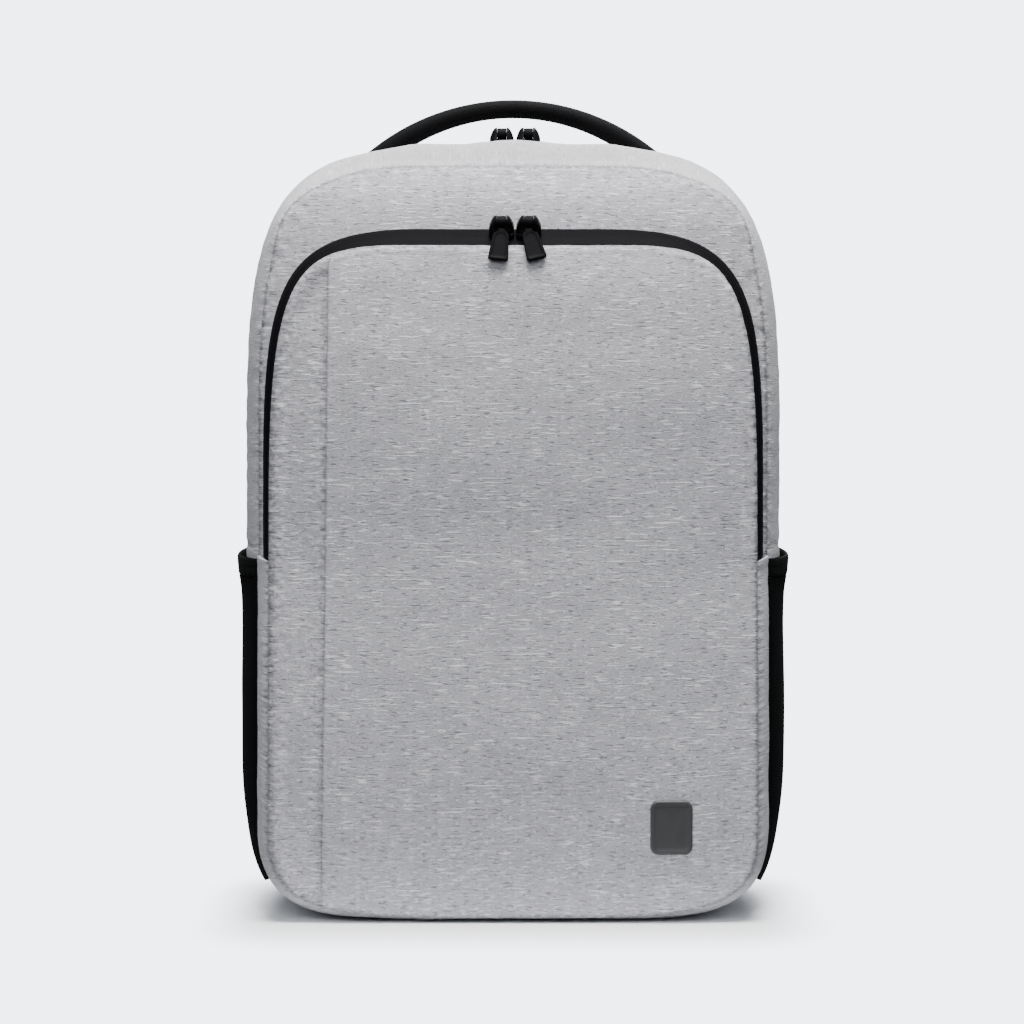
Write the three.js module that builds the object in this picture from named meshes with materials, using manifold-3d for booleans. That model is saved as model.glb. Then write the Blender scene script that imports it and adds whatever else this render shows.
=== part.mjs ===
// A grey daypack that stands upright on its base, in millimetres, with +Z up and its front facing -Y.
// The origin is on the flat underside of the base, below the middle of the pack.
// Cloth pieces are thin walls around a hollow main compartment, a hollow front pocket and two side pockets.
import * as THREE from "three";
import { mergeVertices } from "three/addons/utils/BufferGeometryUtils.js";
import Module from "manifold-3d";

const wasm = await Module();
wasm.setup();

// Body of the pack
const bodyWidth = 313;
const bodyHeight = 450;
const bodyDepth = 102; // from the back face to the main front panel, at the base
const backFace = 60; // how far the back face lies behind the origin
const cloth = 2.4; // padded cloth of every grey wall
const gap = 0.3; // clearance between pieces that are sewn together
const edgeRound = 10; // how far the gusset turns in at its front and back seams
const crest = 5; // rise of the top edge over its corners
const topCornerAcross = 100;
const topCornerDown = 157;
const baseCornerAcross = 58;
const baseCornerUp = 87;
const panelCrown = 4; // bulge of the main front panel
const lap = 10; // how far the lower gusset reaches up inside the upper one

// Front pocket
const pocketDepth = 36; // depth of its gusset at the base
const zipStand = 17.3; // depth that the pocket's zip band takes at the top
const pocketSideInset = 9; // pocket gusset's rear edge, inside the body's side
const zipSideInset = 12.1; // zip band's rear edge, inside the body's side
const zipTopDrop = 53.5; // zip band's rear edge, below the body's top
const faceSideInset = 16.5; // face panel's edge, inside the body's side
const faceTopDrop = 63.4; // face panel's edge, below the body's top
const faceLift = 2.2; // face panel's lower edge, above the floor
const faceCrown = 9; // bulge of the face panel
const seamOffset = 107; // upright seam, left of the centre line
const foldStep = 2; // depth by which the side strip lies behind the folded edge
const foldWidth = 12; // width over which the side strip sinks to that depth

// Zips, sliders and pullers
const tape = 1.2; // thickness of a zip tape
const mainZipDepth = 18; // width of the main zip, across the top
const mainZipBack = 43; // main zip's rear edge, in front of the back face
const sliderLength = 14.6;
const sliderWidth = 9.4;
const sliderPlate = 3;
const sliderSpread = 15.6; // distance between the two sliders of a zip
const sliderShift = 1.2; // the pair stands a little right of the centre line
const archSpan = 13.4;
const archRise = 6.4; // top of the arch above the slider's plate
const archBar = 1.8; // thickness of the arch's top bar
const archDepth = 3;
const archLeg = 2;
const eyeHole = 3; // radius of the puller's eye
const eyeWall = 1.2;
const eyeWidth = 5;
const pullerThickness = 2.2;
const pullerLength = 24; // from the eye's centre to the tip
const pullerNeck = 5.8; // half width of the eye's neck in length
const pullerTopWidth = 9.6;
const pullerTipWidth = 11.8;
const frontPullerLean = 23.5; // degrees that a front puller stands off the vertical
const topPullerDip = 16.3; // degrees that a top puller dips below its zip
const leftPullerSplay = 9; // degrees
const rightPullerSplay = 14;

// Side pockets
const sidePocketHeight = 206;
const hemHeight = 11;
const hemCloth = 2.6;
const meshCloth = 1.3;
const pocketSwell = 4; // how far the mesh stands off the side at half height
const pocketDip = 2; // how far the side gives way behind its pocket
const hemFlare = 7.2; // how far the hem's rim stands off the side
const hemLean = 0.2; // how far the hem leans out, per its height

// Handle, straps and badge
const handleRadius = 123;
const handleRise = 27; // the handle's top above the body's top
const handleThickness = 10.4;
const handleWidth = 22;
const handleBack = 14.3; // its middle, in front of the back face
const padThickness = 12;
const padSideMargin = 51.5; // from a pad's outer edge to the body's side
const padTopMargin = 54;
const padChannel = 18; // open channel between the two back pads
const padBottom = 24; // height of the pads' lower edges
const padEdge = 3;
const padCorner = 30;
const strapWidth = 62;
const strapThickness = 11;
const webWidth = 25;
const webThickness = 1.8;
const lockWidth = 34;
const lockThickness = 3.6;
const tailLength = 62;
const tabThickness = 6;
const tabLength = 22;
const tabInset = 36; // from the tab's middle to the body's side
const tabHeight = 33.75;
const webStraight = 16; // webbing between its tab and its first bend
const lockDrop = 22; // adjuster's middle bar below the strap's end
const lockBar = 3.4;
const webSpare = 3; // room for the webbing in the adjuster's lower slot, beside its own thickness
const webKick = 4; // length over which the webbing bends round the adjuster's lower bar
const tailLift = 3; // how far the tail's free end stands off the webbing
const badgeWidth = 24;
const badgeHeight = 31;
const badgeThickness = 1.8;
const badgeAcross = 90; // badge's middle, right of the centre line
const badgeUp = 55;

const halfWidth = bodyWidth / 2;
const insideBack = backFace - cloth - gap;
const gussetDepth = bodyDepth - 2 * (cloth + gap);

const finish = (name, color, roughness, metalness = 0) =>
  new THREE.MeshStandardMaterial({ name, color, roughness, metalness });
const colours = {
  shell: finish("heather_cloth", 0xb4b4b9, 0.95),
  side: finish("gusset_cloth", 0xb8b8bb, 0.95),
  zip: finish("zip_tape", 0x1c1b20, 0.6),
  metal: finish("zip_hardware", 0x131315, 0.35, 0.3),
  puller: finish("moulded_puller", 0x1d1c20, 0.5),
  mesh: finish("stretch_mesh", 0x0c0d0f, 0.9),
  handle: finish("handle_cloth", 0x141517, 0.8),
  pad: finish("spacer_mesh", 0x1a1b1e, 0.95),
  web: finish("webbing", 0x17181a, 0.8),
  plastic: finish("moulded_plastic", 0x101113, 0.4),
  badge: finish("badge_rubber", 0x46474a, 0.6),
};

const pack = new THREE.Group();

function addPiece(name, geometry, material) {
  const mesh = new THREE.Mesh(geometry, material);
  mesh.name = name;
  pack.add(mesh);
  return mesh;
}

// Tables of shares and the curves through them

// A smooth curve through the rows of a table: returns a column's value at any place along the key column.
function curveThrough(rows, key, column) {
  const slope = (i) => {
    const a = rows[Math.max(i - 1, 0)];
    const b = rows[Math.min(i + 1, rows.length - 1)];
    return (b[column] - a[column]) / (b[key] - a[key]);
  };
  return (at) => {
    const place = THREE.MathUtils.clamp(at, rows[0][key], rows.at(-1)[key]);
    const i = Math.min(rows.findLastIndex((row) => row[key] <= place), rows.length - 2);
    const span = rows[i + 1][key] - rows[i][key];
    const t = (place - rows[i][key]) / span;
    const start = rows[i][column];
    const end = rows[i + 1][column];
    return (
      (2 * t ** 3 - 3 * t ** 2 + 1) * start +
      (t ** 3 - 2 * t ** 2 + t) * span * slope(i) +
      (3 * t ** 2 - 2 * t ** 3) * end +
      (t ** 3 - t ** 2) * span * slope(i + 1)
    );
  };
}

// Side profile of the main front panel: height as a share of bodyHeight, depth as a share of bodyDepth.
const leanRows = [
  { height: 0, depth: 1 },
  { height: 0.3, depth: 1.005 },
  { height: 0.6, depth: 1 },
  { height: 0.8, depth: 0.972 },
  { height: 0.88, depth: 0.94 },
  { height: 0.93, depth: 0.888 },
  { height: 0.97, depth: 0.79 },
];
const leanAt = curveThrough(leanRows, "height", "depth");

// How full the front pocket's gusset is: 1 is pocketDepth, and 0 is the zip band's own depth.
const fullnessRows = [
  { height: 0, fullness: 1 },
  { height: 0.13, fullness: 0.98 },
  { height: 0.3, fullness: 0.62 },
  { height: 0.46, fullness: 0.22 },
  { height: 0.66, fullness: 0.1 },
  { height: 0.87, fullness: 0 },
];
const fullnessAt = curveThrough(fullnessRows, "height", "fullness");

// Gusset from its back seam (0) to its front seam (1): insets as shares of edgeRound, and the crown
// as a share of crest.
const gussetRows = [
  { share: 0, side: 0.8, top: 1.6, base: 0.8, crown: 0.4 },
  { share: 0.07, side: 0.35, top: 1.25, base: 0.2, crown: 0.5 },
  { share: 0.18, side: 0.15, top: 1, base: 0, crown: 0.6 },
  { share: 0.32, side: 0.06, top: 0.74, base: 0, crown: 0.8 },
  { share: 0.45, side: 0.01, top: 0.5, base: 0, crown: 0.95 },
  { share: 0.6, side: 0, top: 0.14, base: 0, crown: 1 },
  { share: 0.7, side: 0.05, top: 0, base: 0, crown: 1 },
  { share: 0.84, side: 0.3, top: 0.38, base: 0, crown: 0.6 },
  { share: 0.93, side: 0.6, top: 0.78, base: 0.1, crown: 0.3 },
  { share: 1, side: 0.93, top: 1.1, base: 0.3, crown: 0.06 },
];
const crestShare = 0.6;
const cornerEase = 0.4; // share by which the top corners turn in less than the sides and the top
const sideInsetAt = curveThrough(gussetRows, "share", "side");
const topInsetAt = curveThrough(gussetRows, "share", "top");
const baseInsetAt = curveThrough(gussetRows, "share", "base");
const crownAt = curveThrough(gussetRows, "share", "crown");

// Side pocket from its foot (0) to its rim (1): swell as a share of pocketSwell.
const swellRows = [
  { height: 0, swell: 0.1 },
  { height: 0.1, swell: 0.55 },
  { height: 0.3, swell: 0.85 },
  { height: 0.6, swell: 1 },
  { height: 0.88, swell: 0.95 },
  { height: 1, swell: 1.1 },
];
const swellAt = curveThrough(swellRows, "height", "swell");

// Outlines, as seen from the front, from the middle of the base to the right, over the top and back

const baseSteps = 3;
const baseCornerSteps = 6;
const lowerSideSteps = 3;
const upperSideSteps = 3;
const topCornerSteps = 9;
const crownSteps = 4;
const splitIndex = baseSteps + baseCornerSteps + lowerSideSteps;
const halfSteps = splitIndex + upperSideSteps + topCornerSteps + crownSteps;

function outline(shape, split, crown = 0) {
  const { half, bottom, top, topCorner, baseCorner } = shape;
  const down = Math.min(topCorner.down, top - split - lap);
  const up = Math.min(baseCorner.up, split - bottom - lap);
  const baseEnd = half - baseCorner.across;
  const topEnd = half - topCorner.across;
  const baseCurve = new THREE.CubicBezierCurve(
    new THREE.Vector2(baseEnd, bottom),
    new THREE.Vector2(baseEnd + baseCorner.across * baseCorner.acrossPull, bottom),
    new THREE.Vector2(half, bottom + up * (1 - baseCorner.upPull)),
    new THREE.Vector2(half, bottom + up),
  );
  const topCurve = new THREE.CubicBezierCurve(
    new THREE.Vector2(half, top - down),
    new THREE.Vector2(half, top - down * (1 - topCorner.downPull)),
    new THREE.Vector2(topEnd + topCorner.across * topCorner.acrossPull, top),
    new THREE.Vector2(topEnd, top),
  );
  const straight = (from, to) => new THREE.LineCurve(new THREE.Vector2(...from), new THREE.Vector2(...to));
  const stretches = [
    [straight([0, bottom], [baseEnd, bottom]), baseSteps],
    [baseCurve, baseCornerSteps],
    [straight([half, bottom + up], [half, split]), lowerSideSteps],
    [straight([half, split], [half, top - down]), upperSideSteps],
    [topCurve, topCornerSteps],
    [straight([topEnd, top], [0, top]), crownSteps],
  ];
  const right = [new THREE.Vector2(0, bottom)];
  for (const [curve, steps] of stretches) right.push(...curve.getPoints(steps).slice(1));
  for (const point of right)
    if (point.x < topEnd && point.y > split)
      point.y += (crown * (1 + Math.cos((Math.PI * point.x) / topEnd))) / 2;
  const left = right.slice(1, -1).reverse();
  return [...right, ...left.map((p) => new THREE.Vector2(-p.x, p.y))];
}

// Moves each point of a closed outline inwards, square to it, by distance(point).
function insetLoop(loop, distance) {
  return loop.map((point, i) => {
    const along = new THREE.Vector2().subVectors(loop[(i + 1) % loop.length], loop.at(i - 1)).normalize();
    return new THREE.Vector2(-along.y, along.x).multiplyScalar(distance(point)).add(point);
  });
}

const bodyOutline = {
  half: halfWidth,
  bottom: 0,
  top: bodyHeight - crest,
  topCorner: { across: topCornerAcross, down: topCornerDown, acrossPull: 0.85, downPull: 0.7 },
  baseCorner: { across: baseCornerAcross, up: baseCornerUp, acrossPull: 0.71, upPull: 0.77 },
};
const zipOutline = {
  half: halfWidth - zipSideInset,
  bottom: 0,
  top: bodyHeight - zipTopDrop,
  topCorner: { across: 89, down: 145, acrossPull: 0.91, downPull: 0.77 },
  baseCorner: { across: 70, up: 54, acrossPull: 0.52, upPull: 0.92 },
};
const pocketOutline = { ...zipOutline, half: halfWidth - pocketSideInset };
const faceOutline = {
  half: halfWidth - faceSideInset,
  bottom: faceLift,
  top: bodyHeight - faceTopDrop,
  topCorner: { across: 75.6, down: 148.4, acrossPull: 0.8, downPull: 0.91 },
  baseCorner: { across: 110, up: 48, acrossPull: 0.75, upPull: 0.85 },
};

// Surfaces of the front, as depths Y at a place (x, z)

// 0 at the middle of an outline and 1 at its edge.
function reach(x, z, shape) {
  const middle = (shape.bottom + shape.top) / 2;
  const tall = (shape.top - shape.bottom) / 2;
  return Math.min(1, ((Math.abs(x) / shape.half) ** 6 + (Math.abs(z - middle) / tall) ** 6) ** (1 / 6));
}
const panelEdge = (z) => backFace - bodyDepth * leanAt(z / bodyHeight);
const panelFront = (x, z) => panelEdge(z) - panelCrown * (1 - reach(x, z, bodyOutline) ** 3);
const panelInside = (x, z) => panelFront(x, z) + cloth;
const pocketStand = (z) => zipStand + (pocketDepth - zipStand) * fullnessAt(z / bodyHeight);
const faceFront = (x, z) => panelEdge(z) - pocketStand(z) - faceCrown * (1 - reach(x, z, faceOutline) ** 3);
const faceInside = (x, z) => faceFront(x, z) + cloth;

// Depth of the gusset at a share of the way from the back seam to the front seam.
function gussetY(share, x, z) {
  const straight = insideBack - share * gussetDepth;
  if (share <= crestShare) return straight;
  const crestY = insideBack - crestShare * gussetDepth;
  const front = panelInside(x, z) + gap;
  return crestY + ((share - crestShare) / (1 - crestShare)) * (front - crestY);
}

function gussetLoop(share, extra = () => 0, split = sidePocketHeight) {
  const loop = outline(bodyOutline, split, crest * crownAt(share));
  return insetLoop(loop, ({ y: z }) => {
    const topness = THREE.MathUtils.smoothstep(z, 0.8 * bodyHeight, 0.98 * bodyHeight);
    const baseness = 1 - THREE.MathUtils.smoothstep(z, 0, 0.12 * bodyHeight);
    const side = sideInsetAt(share) * (1 - topness - baseness);
    const corner = 1 - cornerEase * 6.75 * topness ** 2 * (1 - topness);
    const shares = (side + topInsetAt(share) * topness) * corner + baseInsetAt(share) * baseness;
    return edgeRound * shares + extra(z);
  });
}

// Closed solids from grids of points

function closedSolid(points, faces) {
  const geometry = new THREE.BufferGeometry().setFromPoints(points).setIndex(faces);
  const whole = mergeVertices(geometry, 1e-4);
  const place = whole.attributes.position;
  const index = whole.index.array;
  const corner = [new THREE.Vector3(), new THREE.Vector3(), new THREE.Vector3()];
  let volume = 0;
  for (let i = 0; i < index.length; i += 3) {
    corner.forEach((v, k) => v.fromBufferAttribute(place, index[i + k]));
    volume += corner[0].dot(corner[1].clone().cross(corner[2]));
  }
  if (volume < 0) index.reverse();
  return whole;
}

const quad = (a, b, c, d) => [a, b, c, a, c, d];

// A wall between an outer and an inner grid of points. A round wall closes on itself along its rows.
function wall(outer, inner, round = false) {
  const rows = outer.length;
  const columns = outer[0].length;
  const at = (side, row, column) => side * rows * columns + row * columns + (column % columns);
  const faces = [];
  const lastColumn = columns - 1;
  const lastRow = rows - 1;
  for (let c = 0; c < (round ? columns : lastColumn); c++) {
    for (let r = 0; r < lastRow; r++) {
      faces.push(...quad(at(0, r, c), at(0, r, c + 1), at(0, r + 1, c + 1), at(0, r + 1, c)));
      faces.push(...quad(at(1, r, c), at(1, r + 1, c), at(1, r + 1, c + 1), at(1, r, c + 1)));
    }
    faces.push(...quad(at(0, 0, c + 1), at(0, 0, c), at(1, 0, c), at(1, 0, c + 1)));
    faces.push(
      ...quad(at(0, lastRow, c), at(0, lastRow, c + 1), at(1, lastRow, c + 1), at(1, lastRow, c)),
    );
  }
  for (let r = 0; r < lastRow && !round; r++) {
    faces.push(...quad(at(0, r, 0), at(0, r + 1, 0), at(1, r + 1, 0), at(1, r, 0)));
    const [low, high] = [r, r + 1];
    const end = lastColumn;
    faces.push(...quad(at(0, high, end), at(0, low, end), at(1, low, end), at(1, high, end)));
  }
  return closedSolid([...outer.flat(), ...inner.flat()], faces);
}

// A plate inside an outline, between two surfaces y(x, z), in rings from its edge to its middle.
function plate(loop, front, back, rings = [1, 0.97, 0.9, 0.75, 0.4]) {
  const middle = loop.reduce((sum, p) => sum.add(p), new THREE.Vector2()).divideScalar(loop.length);
  const grid = (surface) =>
    rings.map((ring) =>
      loop.map((p) => {
        const x = middle.x + (p.x - middle.x) * ring;
        const z = middle.y + (p.y - middle.y) * ring;
        return new THREE.Vector3(x, surface(x, z), z);
      }),
    );
  const centre = (surface) => new THREE.Vector3(middle.x, surface(middle.x, middle.y), middle.y);
  const points = [...grid(front).flat(), centre(front), ...grid(back).flat(), centre(back)];
  const count = loop.length;
  const perSide = rings.length * count + 1;
  const at = (side, ring, i) => side * perSide + ring * count + (i % count);
  const faces = [];
  for (let i = 0; i < count; i++) {
    for (let r = 0; r < rings.length - 1; r++) {
      faces.push(...quad(at(0, r, i), at(0, r, i + 1), at(0, r + 1, i + 1), at(0, r + 1, i)));
      faces.push(...quad(at(1, r, i), at(1, r + 1, i), at(1, r + 1, i + 1), at(1, r, i + 1)));
    }
    const last = rings.length - 1;
    faces.push(at(0, last, i), at(0, last, i + 1), perSide - 1);
    faces.push(at(1, last, i + 1), at(1, last, i), 2 * perSide - 1);
    faces.push(...quad(at(0, 0, i + 1), at(0, 0, i), at(1, 0, i), at(1, 0, i + 1)));
  }
  return closedSolid(points, faces);
}

// A geometry with only its places, each corner held once.
function plainMesh(geometry) {
  const bare = geometry.index ? geometry.toNonIndexed() : geometry.clone();
  bare.deleteAttribute("normal");
  bare.deleteAttribute("uv");
  return mergeVertices(bare, 1e-4);
}

function solidOf(geometry) {
  const bare = plainMesh(geometry);
  return new wasm.Manifold(
    new wasm.Mesh({
      numProp: 3,
      vertProperties: new Float32Array(bare.attributes.position.array),
      triVerts: new Uint32Array(bare.index.array),
    }),
  );
}

function geometryOf(solid) {
  const mesh = solid.getMesh();
  return new THREE.BufferGeometry()
    .setAttribute("position", new THREE.BufferAttribute(new Float32Array(mesh.vertProperties), 3))
    .setIndex(new THREE.BufferAttribute(new Uint32Array(mesh.triVerts), 1));
}

// A solid through closed sections of equal count, with a flat end on the first and the last.
function loft(sections) {
  const count = sections[0].length;
  const points = sections.flat();
  const faces = [];
  for (let s = 0; s < sections.length - 1; s++)
    for (let i = 0; i < count; i++) {
      const next = (i + 1) % count;
      faces.push(...quad(s * count + i, s * count + next, (s + 1) * count + next, (s + 1) * count + i));
    }
  for (const [first, turn] of [[0, 1], [(sections.length - 1) * count, -1]]) {
    const middle = new THREE.Vector3();
    for (let i = 0; i < count; i++) middle.add(points[first + i]);
    points.push(middle.divideScalar(count));
    for (let i = 0; i < count; i++) {
      const pair = [first + i, first + ((i + 1) % count)];
      faces.push(...(turn > 0 ? [pair[1], pair[0]] : pair), points.length - 1);
    }
  }
  return closedSolid(points, faces);
}

// An oblong section with soft corners: width along one direction and thickness along the other.
function softSection(centre, widthDirection, thicknessDirection, width, thickness, count = 12) {
  return Array.from({ length: count }, (_, i) => {
    const angle = ((i + 0.5) / count) * 2 * Math.PI;
    const soft = (value, power) => Math.sign(value) * Math.abs(value) ** power;
    return centre
      .clone()
      .addScaledVector(widthDirection, (soft(Math.cos(angle), 0.45) * width) / 2)
      .addScaledVector(thicknessDirection, (soft(Math.sin(angle), 0.7) * thickness) / 2);
  });
}

// Main compartment: lower gusset with base, upper gusset in two strips, front and back panels

const zipFrontShare = (insideBack - (backFace - mainZipBack - mainZipDepth)) / gussetDepth;
const zipRearShare = (insideBack - (backFace - mainZipBack)) / gussetDepth;
const halfGapShare = gap / 2 / gussetDepth;
const gussetShares = [0, 0.07, 0.18, 0.32, 0.5, 0.7, 0.84, 0.93, 1];
const rearShares = [
  ...gussetShares.filter((share) => share < zipRearShare - 0.05),
  zipRearShare - halfGapShare,
];
const frontShares = [
  zipFrontShare + halfGapShare,
  ...gussetShares.filter((share) => share > zipFrontShare + 0.05),
];

// A band of the gusset through several shares of its depth, over some columns of the outline.
function gussetBand(shares, columns, thickness, extra = () => 0, split = sidePocketHeight) {
  const grid = (inset) =>
    shares.map((share) => {
      const loop = gussetLoop(share, (z) => extra(z) + inset, split);
      return columns.map((c) => {
        const { x, y: z } = loop[c];
        return new THREE.Vector3(x, gussetY(share, x, z), z);
      });
    });
  return wall(grid(0), grid(thickness));
}

const upperColumns = Array.from({ length: 2 * (halfSteps - splitIndex) + 1 }, (_, i) => splitIndex + i);
const lowerColumns = Array.from(
  { length: 2 * splitIndex + 1 },
  (_, i) => (2 * halfSteps - splitIndex + i) % (2 * halfSteps),
);
const lowerStep = (z) =>
  (cloth + gap) * THREE.MathUtils.smoothstep(z, 0.02 * bodyHeight, 0.13 * bodyHeight);

const rearStrip = addPiece(
  "upper_gusset_rear",
  gussetBand(rearShares, upperColumns, cloth),
  colours.side,
);
addPiece(
  "upper_gusset_front",
  gussetBand(frontShares, upperColumns, cloth),
  colours.side,
);
addPiece(
  "main_zip_tape",
  gussetBand(
    [zipRearShare + halfGapShare, (zipRearShare + zipFrontShare) / 2, zipFrontShare - halfGapShare],
    upperColumns,
    tape,
    () => (cloth - tape) / 2,
  ),
  colours.zip,
);
const dipAt = (z) =>
  pocketDip *
  THREE.MathUtils.smoothstep(z / sidePocketHeight, 0.1, 0.35) *
  (1 - THREE.MathUtils.smoothstep(z / sidePocketHeight, 0.85, 1 + lap / sidePocketHeight));
addPiece(
  "lower_gusset",
  gussetBand(
    gussetShares,
    lowerColumns,
    cloth,
    (z) => lowerStep(z) + dipAt(z),
    sidePocketHeight + lap,
  ),
  colours.side,
);
addPiece("main_front_panel", plate(gussetLoop(1), panelFront, panelInside), colours.shell);
addPiece(
  "back_panel",
  plate(
    gussetLoop(0),
    () => backFace,
    () => backFace - cloth,
    [1, 0.5],
  ),
  colours.mesh,
);

// Front pocket: gusset below, zip band above, a wide face panel and a narrow strip behind its folded edge

function pocketBand(rearShape, columns, thickness, split) {
  const rear = outline(rearShape, split);
  const face = outline(faceOutline, split);
  const shares = [0, 0.35, 0.7, 1];
  const loopAt = (share, inset) =>
    insetLoop(
      rear.map((p, i) => p.clone().lerp(face[i], share ** 1.6)),
      () => inset,
    );
  const grid = (inset) =>
    shares.map((share) => {
      const loop = loopAt(share, inset);
      return columns.map((c) => {
        const { x, y: z } = loop[c];
        const rearY = panelFront(x, z) - gap;
        return new THREE.Vector3(x, rearY + share * (faceInside(x, z) + gap - rearY), z);
      });
    });
  return wall(grid(0), grid(thickness));
}

addPiece(
  "pocket_gusset",
  pocketBand(pocketOutline, lowerColumns, cloth, sidePocketHeight - gap / 2),
  colours.side,
);
addPiece(
  "pocket_zip_tape",
  pocketBand(zipOutline, upperColumns, tape, sidePocketHeight + gap / 2),
  colours.zip,
);

// The part of a convex outline on one side of an upright line: side 1 keeps the right, -1 the left.
function clipLoop(loop, x, side) {
  const kept = [];
  const cut = [];
  loop.forEach((p, i) => {
    const next = loop[(i + 1) % loop.length];
    if ((p.x - x) * side >= 0) kept.push(p.clone());
    if ((p.x - x) * (next.x - x) >= 0) return;
    cut.push(p.clone().lerp(next, (x - p.x) / (next.x - p.x)));
    kept.push(cut.at(-1));
  });
  const [a, b] = side > 0 ? cut : [cut[1], cut[0]];
  const between = Array.from({ length: cutSteps - 1 }, (_, i) => a.clone().lerp(b, (i + 1) / cutSteps));
  kept.splice(kept.indexOf(a) + 1, 0, ...between);
  return kept;
}

// Distance from a place to the nearest side of a closed outline.
function edgeDistance(loop, x, z) {
  const place = new THREE.Vector3(x, z, 0);
  const near = new THREE.Vector3();
  return Math.min(
    ...loop.map((p, i) => {
      const next = loop[(i + 1) % loop.length];
      const side = new THREE.Line3(new THREE.Vector3(p.x, p.y, 0), new THREE.Vector3(next.x, next.y, 0));
      return side.closestPointToPoint(place, true, near).distanceTo(place);
    }),
  );
}

const cutSteps = 12;
const faceLoop = outline(faceOutline, sidePocketHeight);
const stripBack = (x, z) =>
  foldStep * THREE.MathUtils.smoothstep(edgeDistance(faceLoop, x, z), cloth, foldWidth);
addPiece(
  "pocket_face",
  plate(clipLoop(faceLoop, -seamOffset, 1), faceFront, faceInside),
  colours.shell,
);
addPiece(
  "pocket_side_strip",
  plate(
    clipLoop(faceLoop, -seamOffset - gap, -1),
    (x, z) => faceFront(x, z) + stripBack(x, z),
    (x, z) => faceInside(x, z) + stripBack(x, z),
    [1, 0.8, 0.4],
  ),
  colours.shell,
);

// A rectangle with round corners, as a closed outline.
function roundedLoop(width, height, corner, x, z, steps = 4) {
  const [w, h] = [width / 2 - corner, height / 2 - corner];
  const shape = new THREE.Shape();
  shape.absarc(w, h, corner, 0, Math.PI / 2);
  shape.absarc(-w, h, corner, Math.PI / 2, Math.PI);
  shape.absarc(-w, -h, corner, Math.PI, 1.5 * Math.PI);
  shape.absarc(w, -h, corner, 1.5 * Math.PI, 2 * Math.PI);
  return shape.getPoints(steps).slice(0, -1).map((p) => new THREE.Vector2(p.x + x, p.y + z));
}

const badgeLoop = roundedLoop(badgeWidth, badgeHeight, badgeWidth / 5, badgeAcross, badgeUp);
addPiece(
  "badge",
  plate(
    badgeLoop,
    (x, z) => faceFront(x, z) - gap - badgeThickness,
    (x, z) => faceFront(x, z) - gap,
    [1, 0.5],
  ),
  colours.badge,
);

// Side pockets: a stretched wall open at the top, with a thick hem round its mouth

function sidePocket(side, rowsOf, offset, thickness) {
  const shares = [0.04, ...gussetShares.slice(1, -1), 0.96];
  const grid = (inner) =>
    shares.map((share) => {
      const along = (share - shares[0]) / (shares.at(-1) - shares[0]);
      const round = Math.sin(Math.PI * along) ** 0.35;
      const loop = gussetLoop(share, lowerStep, sidePocketHeight + lap);
      return rowsOf(loop).map(({ foot, normal }) => {
        const off = gap + (inner ? 0 : thickness) + offset(foot.y / sidePocketHeight) * round;
        const x = foot.x + normal.x * off;
        return new THREE.Vector3(side * x, gussetY(share, foot.x, foot.y), foot.y + normal.y * off);
      });
    });
  return wall(grid(false), grid(true));
}

const meshTop = sidePocketHeight - hemHeight;
// Rows of the mesh: the lower gusset's own corner places, then heights up its straight side.
const meshRows = (loop) => {
  const out = insetLoop(loop, () => -1);
  const rows = loop
    .map((foot, i) => ({ foot, normal: out[i].clone().sub(foot).normalize() }))
    .slice(baseSteps + 2, baseSteps + baseCornerSteps + 1);
  const start = rows.at(-1).foot;
  for (let i = 1; i <= 4; i++) {
    const z = THREE.MathUtils.lerp(start.y, meshTop - gap, i / 4);
    rows.push({ foot: new THREE.Vector2(start.x, z), normal: new THREE.Vector2(1, 0) });
  }
  return rows;
};
const hemRows = (loop) => {
  const { x } = loop[baseSteps + baseCornerSteps];
  return [meshTop, (meshTop + sidePocketHeight) / 2, sidePocketHeight].map((z) => ({
    foot: new THREE.Vector2(x, z),
    normal: new THREE.Vector2(1, 0),
  }));
};
const hemOffset = (height) => hemFlare - meshCloth - (1 - height) * sidePocketHeight * hemLean;
for (const [name, side] of [["left", -1], ["right", 1]]) {
  addPiece(
    `side_pocket_${name}`,
    sidePocket(side, meshRows, (height) => pocketSwell * swellAt(height), meshCloth),
    colours.mesh,
  );
  addPiece(
    `side_pocket_hem_${name}`,
    sidePocket(side, hemRows, hemOffset, hemCloth),
    colours.mesh,
  );
}

// Top handle: a padded arch whose ends follow the top they are sewn to

// Height of the rear strip's top at a place: straight between its places, as its wall is.
function topAt(x, y) {
  const share = THREE.MathUtils.clamp((insideBack - y) / gussetDepth, rearShares[0], rearShares.at(-1));
  const k = Math.max(1, rearShares.findIndex((station) => station >= share));
  const [from, to] = [rearShares[k - 1], rearShares[k]];
  const [low, high] = [from, to].map((station) => {
    const loop = gussetLoop(station).slice(0, halfSteps + 1).reverse();
    const i = Math.max(1, loop.findIndex((p) => p.x >= Math.abs(x)));
    const t = (Math.abs(x) - loop[i - 1].x) / (loop[i].x - loop[i - 1].x);
    return THREE.MathUtils.lerp(loop[i - 1].y, loop[i].y, t);
  });
  return THREE.MathUtils.lerp(low, high, (share - from) / (to - from));
}

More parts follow.
